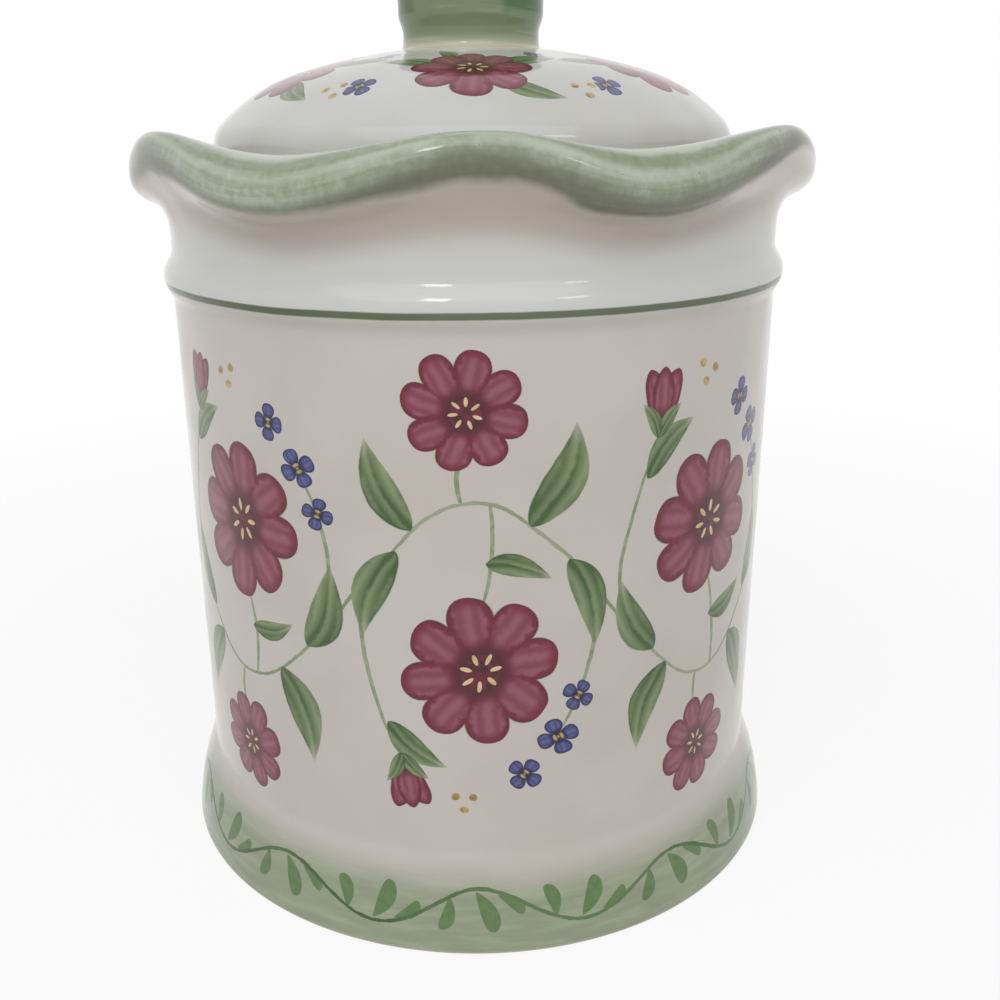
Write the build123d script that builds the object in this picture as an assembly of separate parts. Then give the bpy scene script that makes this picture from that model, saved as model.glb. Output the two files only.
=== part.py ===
from build123d import *
import math
import os

# Glazed earthenware canister: a jar with a ruffled lip, and a domed lid with a knob and a seal ring.
# Millimetres. The axis is Z, the foot stands on z = 0 and the front is towards -Y.

# Jar wall and floor
body_radius = 76.0
wall_thickness = 6.0
wall_height = 121.6
floor_thickness = 7.0
cavity_corner_radius = 9.0

# Flared foot
foot_height = 24.0
foot_spread = 6.4
foot_curve_rise = 0.9
foot_crease_radius = 6.0
foot_roundover = 1.0
foot_ring_width = 10.0
foot_recess_depth = 3.0
foot_recess_draft = 1.5

# Bead and cove of the shoulder
bead_height = 8.6
bead_rise = 1.9
bead_top_stand = 0.4
bead_blend_radius = 3.5
cove_height = 6.3
neck_inset = 0.5

# Ruffled lip
lip_height = 22.8
lip_overhang = 7.0
rim_width = 7.5
ruffle_count = 6
ruffle_dip = 6.4
ruffle_sway = 2.0

# Seat ledge and mouth
ledge_rise = 9.5
ledge_width = 8.5
throat_height = 7.0
ledge_slope_drop = 10.0
ledge_corner_radius = 4.0
mouth_edge_radius = 1.2
gallery_corner_radius = 0.8

# Lid
lid_wall = 5.0
lid_clearance = 1.0
flange_thickness = 5.0
flange_step = 4.0
flange_top_edge = 1.6
flange_low_edge = 1.2
flange_cove_radius = 1.5
dome_side_height = 4.7
shoulder_radius = 45.0
roll_radius = 7.0
vent_radius = 3.0
skirt_wall = 4.5
keeper_height = 3.5
keeper_rise = 2.0
keeper_edge = 0.8

# Angles from the lid's axis where the crown meets the shoulder, and the shoulder the edge roll
crown_edge_angle = 16.5
shoulder_edge_angle = 45.0

# Knob
knob_neck_radius = 16.5
knob_neck_height = 4.8
knob_step_height = 2.0
knob_step = 1.1
knob_band_height = 4.2
knob_swell = 3.4
knob_swell_height = 9.5
knob_cap_height = 10.0
knob_wall = 4.5
knob_land_margin = 0.6

# Seal ring
seal_gap = 0.3
seal_fit = 0.3
seal_depth = 3.9
seal_band = 1.6
seal_height = 8.0
seal_play = 0.3
seal_fin_count = 2

# How far cuts run past what they cut
overrun = 2.0

FULL_TURN = 360.0
POINTS_PER_WAVE = 4

# Lip outline from the outside of the neck up and over to its inner top edge. Each row has the shares
# of the overhang and the height at a crest, then of the sway outwards and the dip at a trough.
lip_outside_shares = [
    (0.05, 0.165, 0.00, 0.15),
    (0.26, 0.365, 0.08, 0.53),
    (0.62, 0.530, 0.70, 0.87),
    (0.89, 0.660, 1.00, 0.96),
    (0.98, 0.790, 0.88, 1.00),
    (0.94, 0.920, 0.60, 1.02),
    (0.66, 1.000, 0.20, 0.74),
    (0.14, 0.965, -0.40, 0.40),
]
# Lip outline down its inner face: the same four, but the first is a share of the way in to the gallery.
lip_inside_shares = [
    (0.14, 0.850, -0.55, 0.25),
    (0.40, 0.705, -0.40, 0.15),
]
# Height of the flat that closes the lip inside, which the gallery cuts away
lip_close_share = 0.52
# Height of a fin's tip and the height of its root, as shares of the room that each fin has
fin_tip_share = 0.35
fin_root_share = 0.75

# Heights and radii worked out from the driving sizes
crease_z = foot_height + wall_height
bead_top_z = crease_z + bead_height
neck_z = bead_top_z + cove_height
lip_top_z = neck_z + lip_height
ledge_z = neck_z + ledge_rise
throat_z = ledge_z - throat_height
ledge_root_z = throat_z - ledge_slope_drop
floor_z = foot_recess_depth + floor_thickness

base_radius = body_radius + foot_spread
cavity_radius = body_radius - wall_thickness
neck_radius = body_radius - neck_inset
gallery_radius = body_radius - rim_width
mouth_radius = gallery_radius - ledge_width
recess_radius = base_radius - foot_ring_width

flange_radius = gallery_radius - lid_clearance
dome_radius = flange_radius - flange_step
flange_top_z = ledge_z + flange_thickness

seal_outer_radius = mouth_radius - seal_gap
seal_inner_radius = seal_outer_radius - seal_depth
skirt_radius = seal_inner_radius - seal_fit
skirt_inner_radius = skirt_radius - skirt_wall
keeper_radius = skirt_radius + keeper_rise
keeper_top_z = ledge_z - seal_height - seal_play
skirt_bottom_z = keeper_top_z - keeper_height


def at(radius, height):
    """Point of a turned outline, in the plane through the axis."""
    return Vector(radius, 0, height)


def line(start, end):
    """Straight stretch of an outline."""
    return Edge.make_line(start, end)


def run(*points):
    """Straight stretches through the points in turn."""
    return [line(start, end) for start, end in zip(points, points[1:])]


def risen(start, end, rise):
    """Point that rises over the middle of a chord, to the right of the way it goes."""
    chord = end - start
    across = Vector(chord.Z, 0, -chord.X).normalized()
    return (start + end) * 0.5 + across * rise


def bulged(start, end, rise):
    """Arc that rises over its chord."""
    return Edge.make_three_point_arc(start, risen(start, end, rise), end)


def swelled(start, end, rise):
    """Slight smooth curve that rises over its chord."""
    return Edge.make_spline([start, risen(start, end, rise), end])


def polar(centre, radius, angle):
    """Point of a circle, with the angle counted from straight up towards the outside."""
    turn = math.radians(angle)
    return centre + at(radius * math.sin(turn), radius * math.cos(turn))


def round_arc(centre, radius, start, end):
    """Arc of a circle between two angles from straight up."""
    middle = polar(centre, radius, (start + end) / 2)
    return Edge.make_three_point_arc(polar(centre, radius, start), middle, polar(centre, radius, end))


def eased(start, end, leave, arrive):
    """Smooth curve that leaves and arrives in the given directions."""
    return Edge.make_spline([start, end], tangents=[leave, arrive])


def outline(edges, corners=()):
    """Closed outline as a face, with each listed corner point rounded by its radius."""
    face = Face(Wire(edges))
    for point, radius in corners:
        nearest = min(face.vertices(), key=lambda vertex: (Vector(vertex) - point).length)
        face = face.fillet_2d(radius, [nearest])
    return face


def turned(face):
    """Solid of revolution of an outline about the axis."""
    return Solid.revolve(face, FULL_TURN, Axis.Z)


UP = at(0, 1)
INWARD = at(-1, 0)


def jar_core():
    """Solid jar from the foot to the neck, with the flared foot, the bead and the cove."""
    base_edge = at(base_radius, 0)
    foot_top = at(body_radius, foot_height)
    crease = at(body_radius, crease_z)
    bead_top = at(neck_radius + bead_top_stand, bead_top_z)
    neck = at(neck_radius, neck_z)
    edges = [
        line(at(0, 0), base_edge),
        swelled(base_edge, foot_top, foot_curve_rise),
        line(foot_top, crease),
        bulged(crease, bead_top, bead_rise),
        Edge.make_tangent_arc(neck, UP * -1, bead_top),
        *run(neck, at(0, neck_z), at(0, 0)),
    ]
    corners = [
        (base_edge, foot_roundover),
        (foot_top, foot_crease_radius),
        (crease, bead_blend_radius),
        (bead_top, bead_blend_radius),
    ]
    return turned(outline(edges, corners))


def wave(radius, height, sway, dip):
    """Closed wave round the jar, at its height on the crests, lower and further out in the troughs."""
    points = []
    steps = ruffle_count * POINTS_PER_WAVE
    for step in range(steps):
        turn = 2 * math.pi * step / steps
        trough = (1 - math.cos(ruffle_count * turn)) / 2
        reach = radius + sway * trough
        points.append(Vector(reach * math.sin(turn), -reach * math.cos(turn), height - dip * trough))
    return Wire([Edge.make_spline(points, periodic=True)])


def ring(radius, height):
    """Level circle round the axis, which starts at the front as the waves do."""
    level = Plane(origin=(0, 0, height), x_dir=(0, -1, 0), z_dir=(0, 0, 1))
    return Wire([Edge.make_circle(radius, level)])


def ruffled_lip():
    """Lip as a filled dish, from the neck out and over its rolled edge to a flat inside the gallery."""
    wires = [ring(neck_radius, neck_z)]
    way_in = neck_radius - gallery_radius
    for out, rise, sway, dip in lip_outside_shares:
        radius = neck_radius + lip_overhang * out
        wires.append(wave(radius, neck_z + lip_height * rise, ruffle_sway * sway, ruffle_dip * dip))
    for inside, rise, sway, dip in lip_inside_shares:
        radius = neck_radius - way_in * inside
        wires.append(wave(radius, neck_z + lip_height * rise, ruffle_sway * sway, ruffle_dip * dip))
    wires.append(ring(gallery_radius - overrun, neck_z + lip_height * lip_close_share))
    return Solid.make_loft(wires)


def jar_hollow():
    """Space inside the jar: the cavity, the sloped underside of the ledge, the mouth and the gallery."""
    floor_edge = at(cavity_radius, floor_z)
    ledge_root = at(cavity_radius, ledge_root_z)
    throat_low = at(mouth_radius, throat_z)
    throat_top = at(mouth_radius, ledge_z)
    gallery_low = at(gallery_radius, ledge_z)
    top = lip_top_z + overrun
    edges = run(
        at(0, floor_z), floor_edge, ledge_root, throat_low, throat_top, gallery_low,
        at(gallery_radius, top), at(0, top), at(0, floor_z),
    )
    corners = [
        (floor_edge, cavity_corner_radius),
        (ledge_root, ledge_corner_radius),
        (throat_low, mouth_edge_radius),
        (throat_top, mouth_edge_radius),
        (gallery_low, gallery_corner_radius),
    ]
    return turned(outline(edges, corners))


def foot_recess():
    """Hollow under the floor that leaves the foot ring to stand on."""
    ceiling = at(recess_radius - foot_recess_draft, foot_recess_depth)
    edges = run(at(0, 0), at(recess_radius, 0), ceiling, at(0, foot_recess_depth), at(0, 0))
    return turned(outline(edges))


def jar_body():
    """Whole jar, one piece of fired clay: the hollowed core and the hollowed lip, joined at the neck."""
    hollow = jar_hollow()
    core = jar_core().cut(hollow, foot_recess())
    return core.fuse(ruffled_lip().cut(hollow))


# Circles of the lid's dome, worked down from its crown to the upright side
sin_crown = math.sin(math.radians(crown_edge_angle))
cos_crown = math.cos(math.radians(crown_edge_angle))
sin_shoulder = math.sin(math.radians(shoulder_edge_angle))
cos_shoulder = math.cos(math.radians(shoulder_edge_angle))
shoulder_reach = shoulder_radius * (sin_shoulder - sin_crown)
roll_reach = roll_radius * (1 - sin_shoulder)
crown_radius = (dome_radius - shoulder_reach - roll_reach) / sin_crown
roll_centre = at(dome_radius - roll_radius, flange_top_z + dome_side_height)
shoulder_centre = roll_centre - at(sin_shoulder, cos_shoulder) * (shoulder_radius - roll_radius)
crown_centre = shoulder_centre - at(sin_crown, cos_crown) * (crown_radius - shoulder_radius)

# Flat land on the crown that carries the knob
land_radius = knob_neck_radius + knob_land_margin
land_angle = math.degrees(math.asin(land_radius / crown_radius))
land_z = polar(crown_centre, crown_radius, land_angle).Z


def lid():
    """Domed lid with its flange, its skirt, the groove for the seal and the vent under the knob."""
    inner_crown = crown_radius - lid_wall
    inner_shoulder = shoulder_radius - lid_wall
    vent_angle = math.degrees(math.asin(vent_radius / inner_crown))
    vent_top = at(vent_radius, land_z)
    vent_low = polar(crown_centre, inner_crown, vent_angle)
    side_low = at(dome_radius, flange_top_z)
    flange_top = at(flange_radius, flange_top_z)
    flange_low = at(flange_radius, ledge_z)
    keeper_top = at(keeper_radius, keeper_top_z)
    keeper_low = at(keeper_radius, skirt_bottom_z)
    skirt_low = at(skirt_inner_radius, skirt_bottom_z)
    inner_roll = polar(shoulder_centre, inner_shoulder, shoulder_edge_angle)
    edges = [
        line(vent_top, at(land_radius, land_z)),
        round_arc(crown_centre, crown_radius, land_angle, crown_edge_angle),
        round_arc(shoulder_centre, shoulder_radius, crown_edge_angle, shoulder_edge_angle),
        round_arc(roll_centre, roll_radius, shoulder_edge_angle, FULL_TURN / 4),
        *run(
            at(dome_radius, roll_centre.Z), side_low, flange_top, flange_low, at(skirt_radius, ledge_z),
            at(skirt_radius, keeper_top_z), keeper_top, keeper_low, skirt_low,
            at(skirt_inner_radius, ledge_z), inner_roll,
        ),
        round_arc(shoulder_centre, inner_shoulder, shoulder_edge_angle, crown_edge_angle),
        round_arc(crown_centre, inner_crown, crown_edge_angle, vent_angle),
        line(vent_low, vent_top),
    ]
    corners = [
        (side_low, flange_cove_radius),
        (flange_top, flange_top_edge),
        (flange_low, flange_low_edge),
        (keeper_top, keeper_edge),
        (keeper_low, keeper_edge),
        (skirt_low, keeper_edge),
    ]
    return turned(outline(edges, corners))


def lid_knob():
    """Hollow turned knob that stands on the land of the crown."""
    band_radius = knob_neck_radius + knob_step
    grip_radius = band_radius + knob_swell
    bore_radius = knob_neck_radius - knob_wall
    step_z = land_z + knob_neck_height
    band_z = step_z + knob_step_height
    swell_z = band_z + knob_band_height
    grip_z = swell_z + knob_swell_height
    top_z = grip_z + knob_cap_height
    bore_top = at(0, top_z - knob_wall)
    bore_side = at(bore_radius, swell_z)
    edges = [
        *run(at(bore_radius, land_z), at(knob_neck_radius, land_z), at(knob_neck_radius, step_z)),
        *run(at(knob_neck_radius, step_z), at(band_radius, band_z), at(band_radius, swell_z)),
        eased(at(band_radius, swell_z), at(grip_radius, grip_z), UP, UP),
        eased(at(grip_radius, grip_z), at(0, top_z), UP, INWARD),
        line(at(0, top_z), bore_top),
        eased(bore_top, bore_side, INWARD * -1, UP * -1),
        line(bore_side, at(bore_radius, land_z)),
    ]
    return turned(outline(edges))


def seal_ring():
    """Soft ring on the lid's skirt: a band with fins that wipe the mouth."""
    band_radius = seal_inner_radius + seal_band
    room = seal_height / seal_fin_count
    points = [at(seal_inner_radius, keeper_top_z), at(band_radius, keeper_top_z)]
    for fin in range(seal_fin_count):
        low = keeper_top_z + room * fin
        points.append(at(seal_outer_radius, low + room * fin_tip_share))
        points.append(at(band_radius, low + room * fin_root_share))
    points.append(at(band_radius, keeper_top_z + seal_height))
    points.append(at(seal_inner_radius, keeper_top_z + seal_height))
    points.append(points[0])
    return turned(outline(run(*points)))


pieces = {
    "jar_body": jar_body(),
    "lid": lid(),
    "lid_knob": lid_knob(),
    "seal_ring": seal_ring(),
}

os.makedirs("parts", exist_ok=True)
for name, solid in pieces.items():
    export_step(solid, f"parts/{name}.step")
    print(name, "volume", round(solid.volume), "box", solid.bounding_box().size)
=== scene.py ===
"""Glazed earthenware canister: a jar with a ruffled lip, a domed lid, its knob and its seal ring."""

import logging
import math
from dataclasses import dataclass
from enum import Enum
from typing import Any, ClassVar, Dict, List, NamedTuple, Optional, Sequence, Tuple, Union

import bmesh
import bpy
from mathutils import Matrix, Vector


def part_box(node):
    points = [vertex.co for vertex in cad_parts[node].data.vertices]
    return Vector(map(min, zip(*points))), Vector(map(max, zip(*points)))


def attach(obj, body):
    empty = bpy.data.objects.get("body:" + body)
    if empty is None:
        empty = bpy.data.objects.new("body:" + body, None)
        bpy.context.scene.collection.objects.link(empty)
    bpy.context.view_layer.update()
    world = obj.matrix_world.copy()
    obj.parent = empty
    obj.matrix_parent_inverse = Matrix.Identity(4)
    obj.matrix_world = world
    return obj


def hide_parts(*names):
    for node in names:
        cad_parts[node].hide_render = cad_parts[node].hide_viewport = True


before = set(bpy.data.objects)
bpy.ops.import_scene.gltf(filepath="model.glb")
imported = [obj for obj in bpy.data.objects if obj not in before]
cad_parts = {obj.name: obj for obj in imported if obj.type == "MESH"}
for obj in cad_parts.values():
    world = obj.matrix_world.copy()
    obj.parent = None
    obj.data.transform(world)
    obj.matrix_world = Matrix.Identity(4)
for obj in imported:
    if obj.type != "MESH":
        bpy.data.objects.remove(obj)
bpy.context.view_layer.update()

LOG = logging.getLogger("canister")

MM = 0.001
FULL_TURN = 2 * math.pi
STROKE_STEPS = 20
SAME_POINT = 0.02
BLACK = (0.0, 0.0, 0.0, 1.0)

Point = Tuple[float, float]
Rgba = Tuple[float, float, float, float]


class Body(Enum):
    """Bodies of the frame that the pieces ride on."""

    JAR = "jar"
    SEAL = "seal"
    LID = "lid"


class Node(Enum):
    """Solids of the frame that the pieces stand for."""

    JAR = "jar_body"
    LID = "lid"
    KNOB = "lid_knob"
    SEAL = "seal_ring"


class Slot(Enum):
    """Material slots of the record."""

    JAR = "jar_glaze"
    LID = "lid_glaze"
    KNOB = "knob_glaze"
    SEAL = "seal"


class Pigment(Enum):
    """Glaze, underglaze and clay colours, as red, green and blue out of 255."""

    WHITE = (207, 201, 195)
    CREAM = (202, 195, 187)
    # Cooler, whiter glaze of the lid and the shoulder, partly painted light on faces that look up
    CLEAR = (213, 214, 211)
    CLEAR_SHADE = (205, 204, 199)
    CLAY = (186, 172, 152)
    WINE_DEEP = (52, 12, 22)
    WINE_DARK = (116, 20, 48)
    WINE_LIGHT = (152, 84, 104)
    LEAF = (104, 132, 80)
    LEAF_DARK = (62, 94, 46)
    LEAF_LIGHT = (142, 158, 112)
    VINE = (128, 144, 100)
    VINE_PALE = (158, 166, 134)
    BLUE = (40, 44, 100)
    BLUE_LIGHT = (92, 96, 150)
    OCHRE = (206, 178, 116)
    OCHRE_PALE = (224, 206, 164)
    OCHRE_DARK = (150, 116, 62)
    SAGE = (152, 164, 138)
    SAGE_DARK = (110, 128, 90)
    SAGE_PALE = (176, 185, 166)
    SAGE_WHITE = (192, 199, 182)
    LIP_SHADE = (95, 95, 72)
    # Warm painted shade under the lip
    POOL = (180, 164, 148)
    OLIVE = (84, 96, 62)
    FOOT_GREEN = (120, 137, 99)
    FOOT_PALE = (157, 172, 139)
    FOOT_LEAF = (88, 124, 72)
    KNOB_GREEN = (126, 140, 106)
    KNOB_DARK = (60, 104, 50)
    KNOB_PALE = (200, 198, 176)
    SPECK = (88, 84, 62)
    RUBBER = (226, 226, 220)
    RUBBER_SHADE = (208, 208, 200)
    PAPER = (250, 250, 250)
    PAPER_SHADE = (244, 244, 244)

    @property
    def linear(self) -> Rgba:
        """Scene-linear colour with full alpha.

        Returns:
            Red, green, blue and alpha.
        """
        shares = [channel / 255 for channel in self.value]
        red, green, blue = [
            share / 12.92 if share <= 0.04045 else ((share + 0.055) / 1.055) ** 2.4 for share in shares
        ]
        return red, green, blue, 1.0


class Load(Enum):
    """How the paint lies in a stroke."""

    POOLED = "dark rim round a thin middle"
    STREAKED = "dark rib and base, pale tip"
    EVEN = "same all over"


class Touch(Enum):
    """Brush shapes: how the paint lies, where the stroke starts, and how it grows and narrows.

    The start is a share of the length. Of the two powers, the first shapes the start and the second the
    end: small ones leave it blunt, large ones draw it out to a point.
    """

    LEAF = (Load.STREAKED, 0.0, 0.70, 1.10)
    PETAL = (Load.POOLED, 0.08, 0.95, 0.46)
    DROP = (Load.POOLED, 0.0, 0.80, 0.60)
    ROUND = (Load.POOLED, 0.04, 0.80, 0.42)
    STEM = (Load.EVEN, 0.0, 0.10, 0.25)
    DOT = (Load.EVEN, 0.42, 0.50, 0.50)
    DAB = (Load.EVEN, 0.0, 0.85, 0.45)

    @property
    def load(self) -> Load:
        """How the paint lies."""
        return self.value[0]

    @property
    def stops(self) -> List[Point]:
        """Half the width along the stroke, both as shares of the whole.

        Returns:
            Places along the stroke with the width there.
        """
        _, start, grow, narrow = self.value
        peak = grow / (grow + narrow)
        full = peak ** grow * (1 - peak) ** narrow
        shares = [(1 - math.cos(math.pi * step / STROKE_STEPS)) / 2 for step in range(STROKE_STEPS + 1)]
        return [(start + (1 - start) * s, s ** grow * (1 - s) ** narrow / full) for s in shares]


class Row(NamedTuple):
    """One ring of a turned wall, in millimetres.

    sway and dip say how far a trough of the ruffle stands out and sinks there, lip is the place on
    the lip from 0 at its foot to 1 inside, and lift the share of the hand's unevenness.
    """

    radius: float
    height: float
    sway: float = 0.0
    dip: float = 0.0
    lip: float = 0.0
    lift: float = 0.0


def rounded(corners: Sequence[Tuple[float, float, float]], steps: int = 4) -> List[Point]:
    """Walk along straight stretches whose corners are rounded.

    Args:
        corners: Radius, height and rounding of each corner in turn.
        steps: Stretches in each rounding.

    Returns:
        Points of the outline.
    """
    points: List[Point] = []
    for index, (radius, height, rounding) in enumerate(corners):
        here = Vector((radius, height))
        if rounding == 0 or index in (0, len(corners) - 1):
            points.append((radius, height))
            continue
        back = (Vector(corners[index - 1][:2]) - here).normalized()
        ahead = (Vector(corners[index + 1][:2]) - here).normalized()
        half = back.angle(ahead) / 2
        reach = rounding / math.tan(half)
        centre = here + (back + ahead).normalized() * (rounding / math.sin(half))
        start = here + back * reach - centre
        end = here + ahead * reach - centre
        sweep = start.angle(end)
        for step in range(steps + 1):
            share = step / steps
            spoke = (start * math.sin((1 - share) * sweep) + end * math.sin(share * sweep)) / math.sin(sweep)
            points.append(tuple(centre + spoke))
    return points


def arc(centre: Point, radius: float, start: float, end: float, steps: int) -> List[Point]:
    """Points of a circle between two angles from straight up, in degrees."""
    angles = [math.radians(start + (end - start) * step / steps) for step in range(steps + 1)]
    return [(centre[0] + radius * math.sin(turn), centre[1] + radius * math.cos(turn)) for turn in angles]


def swelled(start: Point, end: Point, rise: float, steps: int) -> List[Point]:
    """Slight curve from start to end that rises over its chord, to the right of the way it goes.

    Args:
        start: First point.
        end: Last point.
        rise: How far the middle stands off the chord.
        steps: Stretches that it is cut into.

    Returns:
        Points of the curve.
    """
    chord = Vector(end) - Vector(start)
    across = Vector((chord.y, -chord.x)).normalized() * rise
    shares = [step / steps for step in range(steps + 1)]
    return [tuple(Vector(start) + chord * share + across * 4 * share * (1 - share)) for share in shares]


def eased(start: Point, end: Point, leave: Point, arrive: Point, steps: int) -> List[Point]:
    """Smooth curve that leaves and arrives in the given directions.

    Args:
        start: First point.
        end: Last point.
        leave: Direction at the start.
        arrive: Direction at the end.
        steps: Stretches that it is cut into.

    Returns:
        Points of the curve.
    """
    first, last = Vector(start), Vector(end)
    pull = (last - first).length
    points = []
    for step in range(steps + 1):
        s = step / steps
        place = first * (2 * s ** 3 - 3 * s ** 2 + 1) + last * (3 * s ** 2 - 2 * s ** 3)
        place += Vector(leave) * pull * (s ** 3 - 2 * s ** 2 + s) + Vector(arrive) * pull * (s ** 3 - s ** 2)
        points.append(tuple(place))
    return points


def plain(points: Sequence[Point], stride: float) -> List[Row]:
    """Rows through the points, with no stretch longer than the stride and no point doubled.

    Args:
        points: Points of the outline.
        stride: Longest stretch, in millimetres.

    Returns:
        Rows with no ruffle.
    """
    rows: List[Row] = []
    for radius, height in points:
        if rows:
            last = rows[-1]
            widen, climb = radius - last.radius, height - last.height
            length = math.hypot(widen, climb)
            if length < SAME_POINT:
                continue
            parts = max(1, math.ceil(length / stride))
            shares = [part / parts for part in range(1, parts)]
            rows += [Row(last.radius + widen * share, last.height + climb * share) for share in shares]
        rows.append(Row(radius, height))
    return rows


def walked(rows: Sequence[Row]) -> List[float]:
    """Length of the outline up to each row.

    Args:
        rows: Rows of the outline.

    Returns:
        Lengths in millimetres, from 0 at the first row.
    """
    walks = [0.0]
    for last, row in zip(rows, rows[1:]):
        walks.append(walks[-1] + math.hypot(row.radius - last.radius, row.height - last.height))
    return walks


def flowing(rows: Sequence[Row], parts: int) -> List[Row]:
    """Rows along a smooth curve through the given ones, with each stretch cut into parts.

    Args:
        rows: Rows that the curve passes.
        parts: Parts of each stretch.

    Returns:
        Rows of the curve.
    """
    ends = [rows[0], *rows, rows[-1]]
    smooth: List[Row] = []
    for before, start, end, after in zip(ends, ends[1:], ends[2:], ends[3:]):
        for part in range(parts):
            s = part / parts
            weights = (
                (2 * s ** 2 - s - s ** 3) / 2, (2 - 5 * s ** 2 + 3 * s ** 3) / 2,
                (s + 4 * s ** 2 - 3 * s ** 3) / 2, (s ** 3 - s ** 2) / 2)
            smooth.append(Row(*(
                sum(weight * size for weight, size in zip(weights, sizes))
                for sizes in zip(before, start, end, after))))
    return smooth + [rows[-1]]


@dataclass(frozen=True)
class Ruffle:
    """Hand-pressed wave of the lip: even troughs, each moved and lifted a little."""

    count: int = 6
    drift: Tuple[float, ...] = (1.0, -4.5, -3.0, 0.0, 8.0, 4.0, 0.0, -5.0, -9.0, 2.0, 2.0, 0.0)
    uneven: Tuple[float, ...] = (0.0, 0.2, 0.1, -0.2, -1.4, 0.1, 0.4, 0.0, -2.0, -0.2, 0.3, -0.3)

    @staticmethod
    def _between(sizes: Sequence[float], turn: float) -> float:
        """Smooth value at an angle among sizes that are spread evenly round the lip.

        Args:
            sizes: Values round the lip, the first at the front.
            turn: Angle from the front, in radians.

        Returns:
            The value there.
        """
        place = turn / FULL_TURN % 1.0 * len(sizes)
        start = int(place)
        ease = (1 - math.cos(math.pi * (place - start))) / 2
        return sizes[start % len(sizes)] * (1 - ease) + sizes[(start + 1) % len(sizes)] * ease

    def trough(self, turn: float) -> float:
        """How deep in a trough an angle from the front is, from 0 to 1."""
        moved = turn - math.radians(self._between(self.drift, turn))
        return (1 - math.cos(self.count * moved)) / 2

    def rise(self, turn: float) -> float:
        """How much higher the hand left the lip at an angle, in millimetres."""
        return self._between(self.uneven, turn)


class Wheel:
    """Potter's wheel: it draws a ring up row by row into a closed, smooth wall round the Z axis."""

    WALK = "walk"
    LIP = "lip"
    DIP = "ruffle"

    def __init__(self, columns: int, ruffle: Optional[Ruffle] = None) -> None:
        """Set the wheel up.

        Args:
            columns: Faces round the wall.
            ruffle: Wave for the rows that have a sway, a dip or a lift.
        """
        self.columns = columns
        self.ruffle = ruffle or Ruffle()

    def turn(self, name: str, rows: Sequence[Row], looped: bool) -> bpy.types.Object:
        """Turn a wall.

        Args:
            name: Name of the piece.
            rows: Rings in the order of the outline.
            looped: Whether the last ring meets the first, instead of both closing on the axis.

        Returns:
            The closed wall.
        """
        first = rows[0]
        bpy.ops.object.select_all(action="DESELECT")
        bpy.ops.mesh.primitive_circle_add(
            vertices=self.columns, radius=first.radius * MM, location=(0, 0, 0),
            fill_type="NOTHING" if looped else "TRIFAN", calc_uvs=False)
        piece = bpy.context.active_object
        piece.name = piece.data.name = name
        bpy.ops.object.mode_set(mode="EDIT")
        bpy.ops.mesh.select_mode(type="VERT")
        mesh = bmesh.from_edit_mesh(piece.data)
        for layer in (self.WALK, self.LIP, self.DIP):
            mesh.verts.layers.float.new(layer)
        bpy.ops.transform.translate(value=(0, 0, first.height * MM))
        bpy.ops.mesh.select_all(action="DESELECT")
        bpy.ops.mesh.select_non_manifold()
        for last, row, walk in zip(rows, rows[1:], walked(rows)[1:]):
            self._draw(piece, last, row, walk)
        if looped:
            bpy.ops.mesh.select_all(action="DESELECT")
            bpy.ops.mesh.select_non_manifold()
            bpy.ops.mesh.bridge_edge_loops()
        else:
            bpy.ops.mesh.extrude_region_move()
            bpy.ops.mesh.merge(type="CENTER")
        bpy.ops.mesh.select_all(action="SELECT")
        bpy.ops.mesh.normals_make_consistent(inside=False)
        bpy.ops.object.mode_set(mode="OBJECT")
        return piece

    def _draw(self, piece: bpy.types.Object, last: Row, row: Row, walk: float) -> None:
        """Extrude the free ring to the next row and press the ruffle into it.

        Args:
            piece: Wall on the wheel, in edit mode, with its free ring selected.
            last: Row of the free ring.
            row: Row that it goes to.
            walk: Length of the outline up to that row, in millimetres.
        """
        climb = (row.height - last.height) * MM
        widen = row.radius / last.radius
        bpy.ops.mesh.extrude_region_move(TRANSFORM_OT_translate={"value": (0, 0, climb)})
        bpy.ops.transform.resize(value=(widen, widen, 1), center_override=(0, 0, 0))
        mesh = bmesh.from_edit_mesh(piece.data)
        layers = [mesh.verts.layers.float[layer] for layer in (self.WALK, self.LIP, self.DIP)]
        for vert in mesh.verts:
            if not vert.select:
                continue
            around = math.atan2(vert.co.x, -vert.co.y)
            trough = self.ruffle.trough(around)
            reach = row.radius + row.sway * trough
            height = row.height - row.dip * trough + row.lift * self.ruffle.rise(around)
            vert.co = Vector((reach * math.sin(around), -reach * math.cos(around), height)) * MM
            for layer, size in zip(layers, (walk, row.lip, trough)):
                vert[layer] = size
        bmesh.update_edit_mesh(piece.data)

    @staticmethod
    def smooth(piece: bpy.types.Object) -> None:
        """Smooth a wall by one subdivision and leave its faces round.

        Args:
            piece: Wall off the wheel.
        """
        bpy.ops.object.select_all(action="DESELECT")
        piece.select_set(True)
        bpy.context.view_layer.objects.active = piece
        polish = piece.modifiers.new("polish", "SUBSURF")
        polish.levels = polish.render_levels = 1
        polish.use_limit_surface = False
        bpy.ops.object.modifier_apply(modifier=polish.name)
        bpy.ops.object.shade_smooth()


class Sheet(NamedTuple):
    """Rectangle of the bake map: its left, bottom, width and height, as shares of the map."""

    left: float
    low: float
    width: float
    height: float


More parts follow.
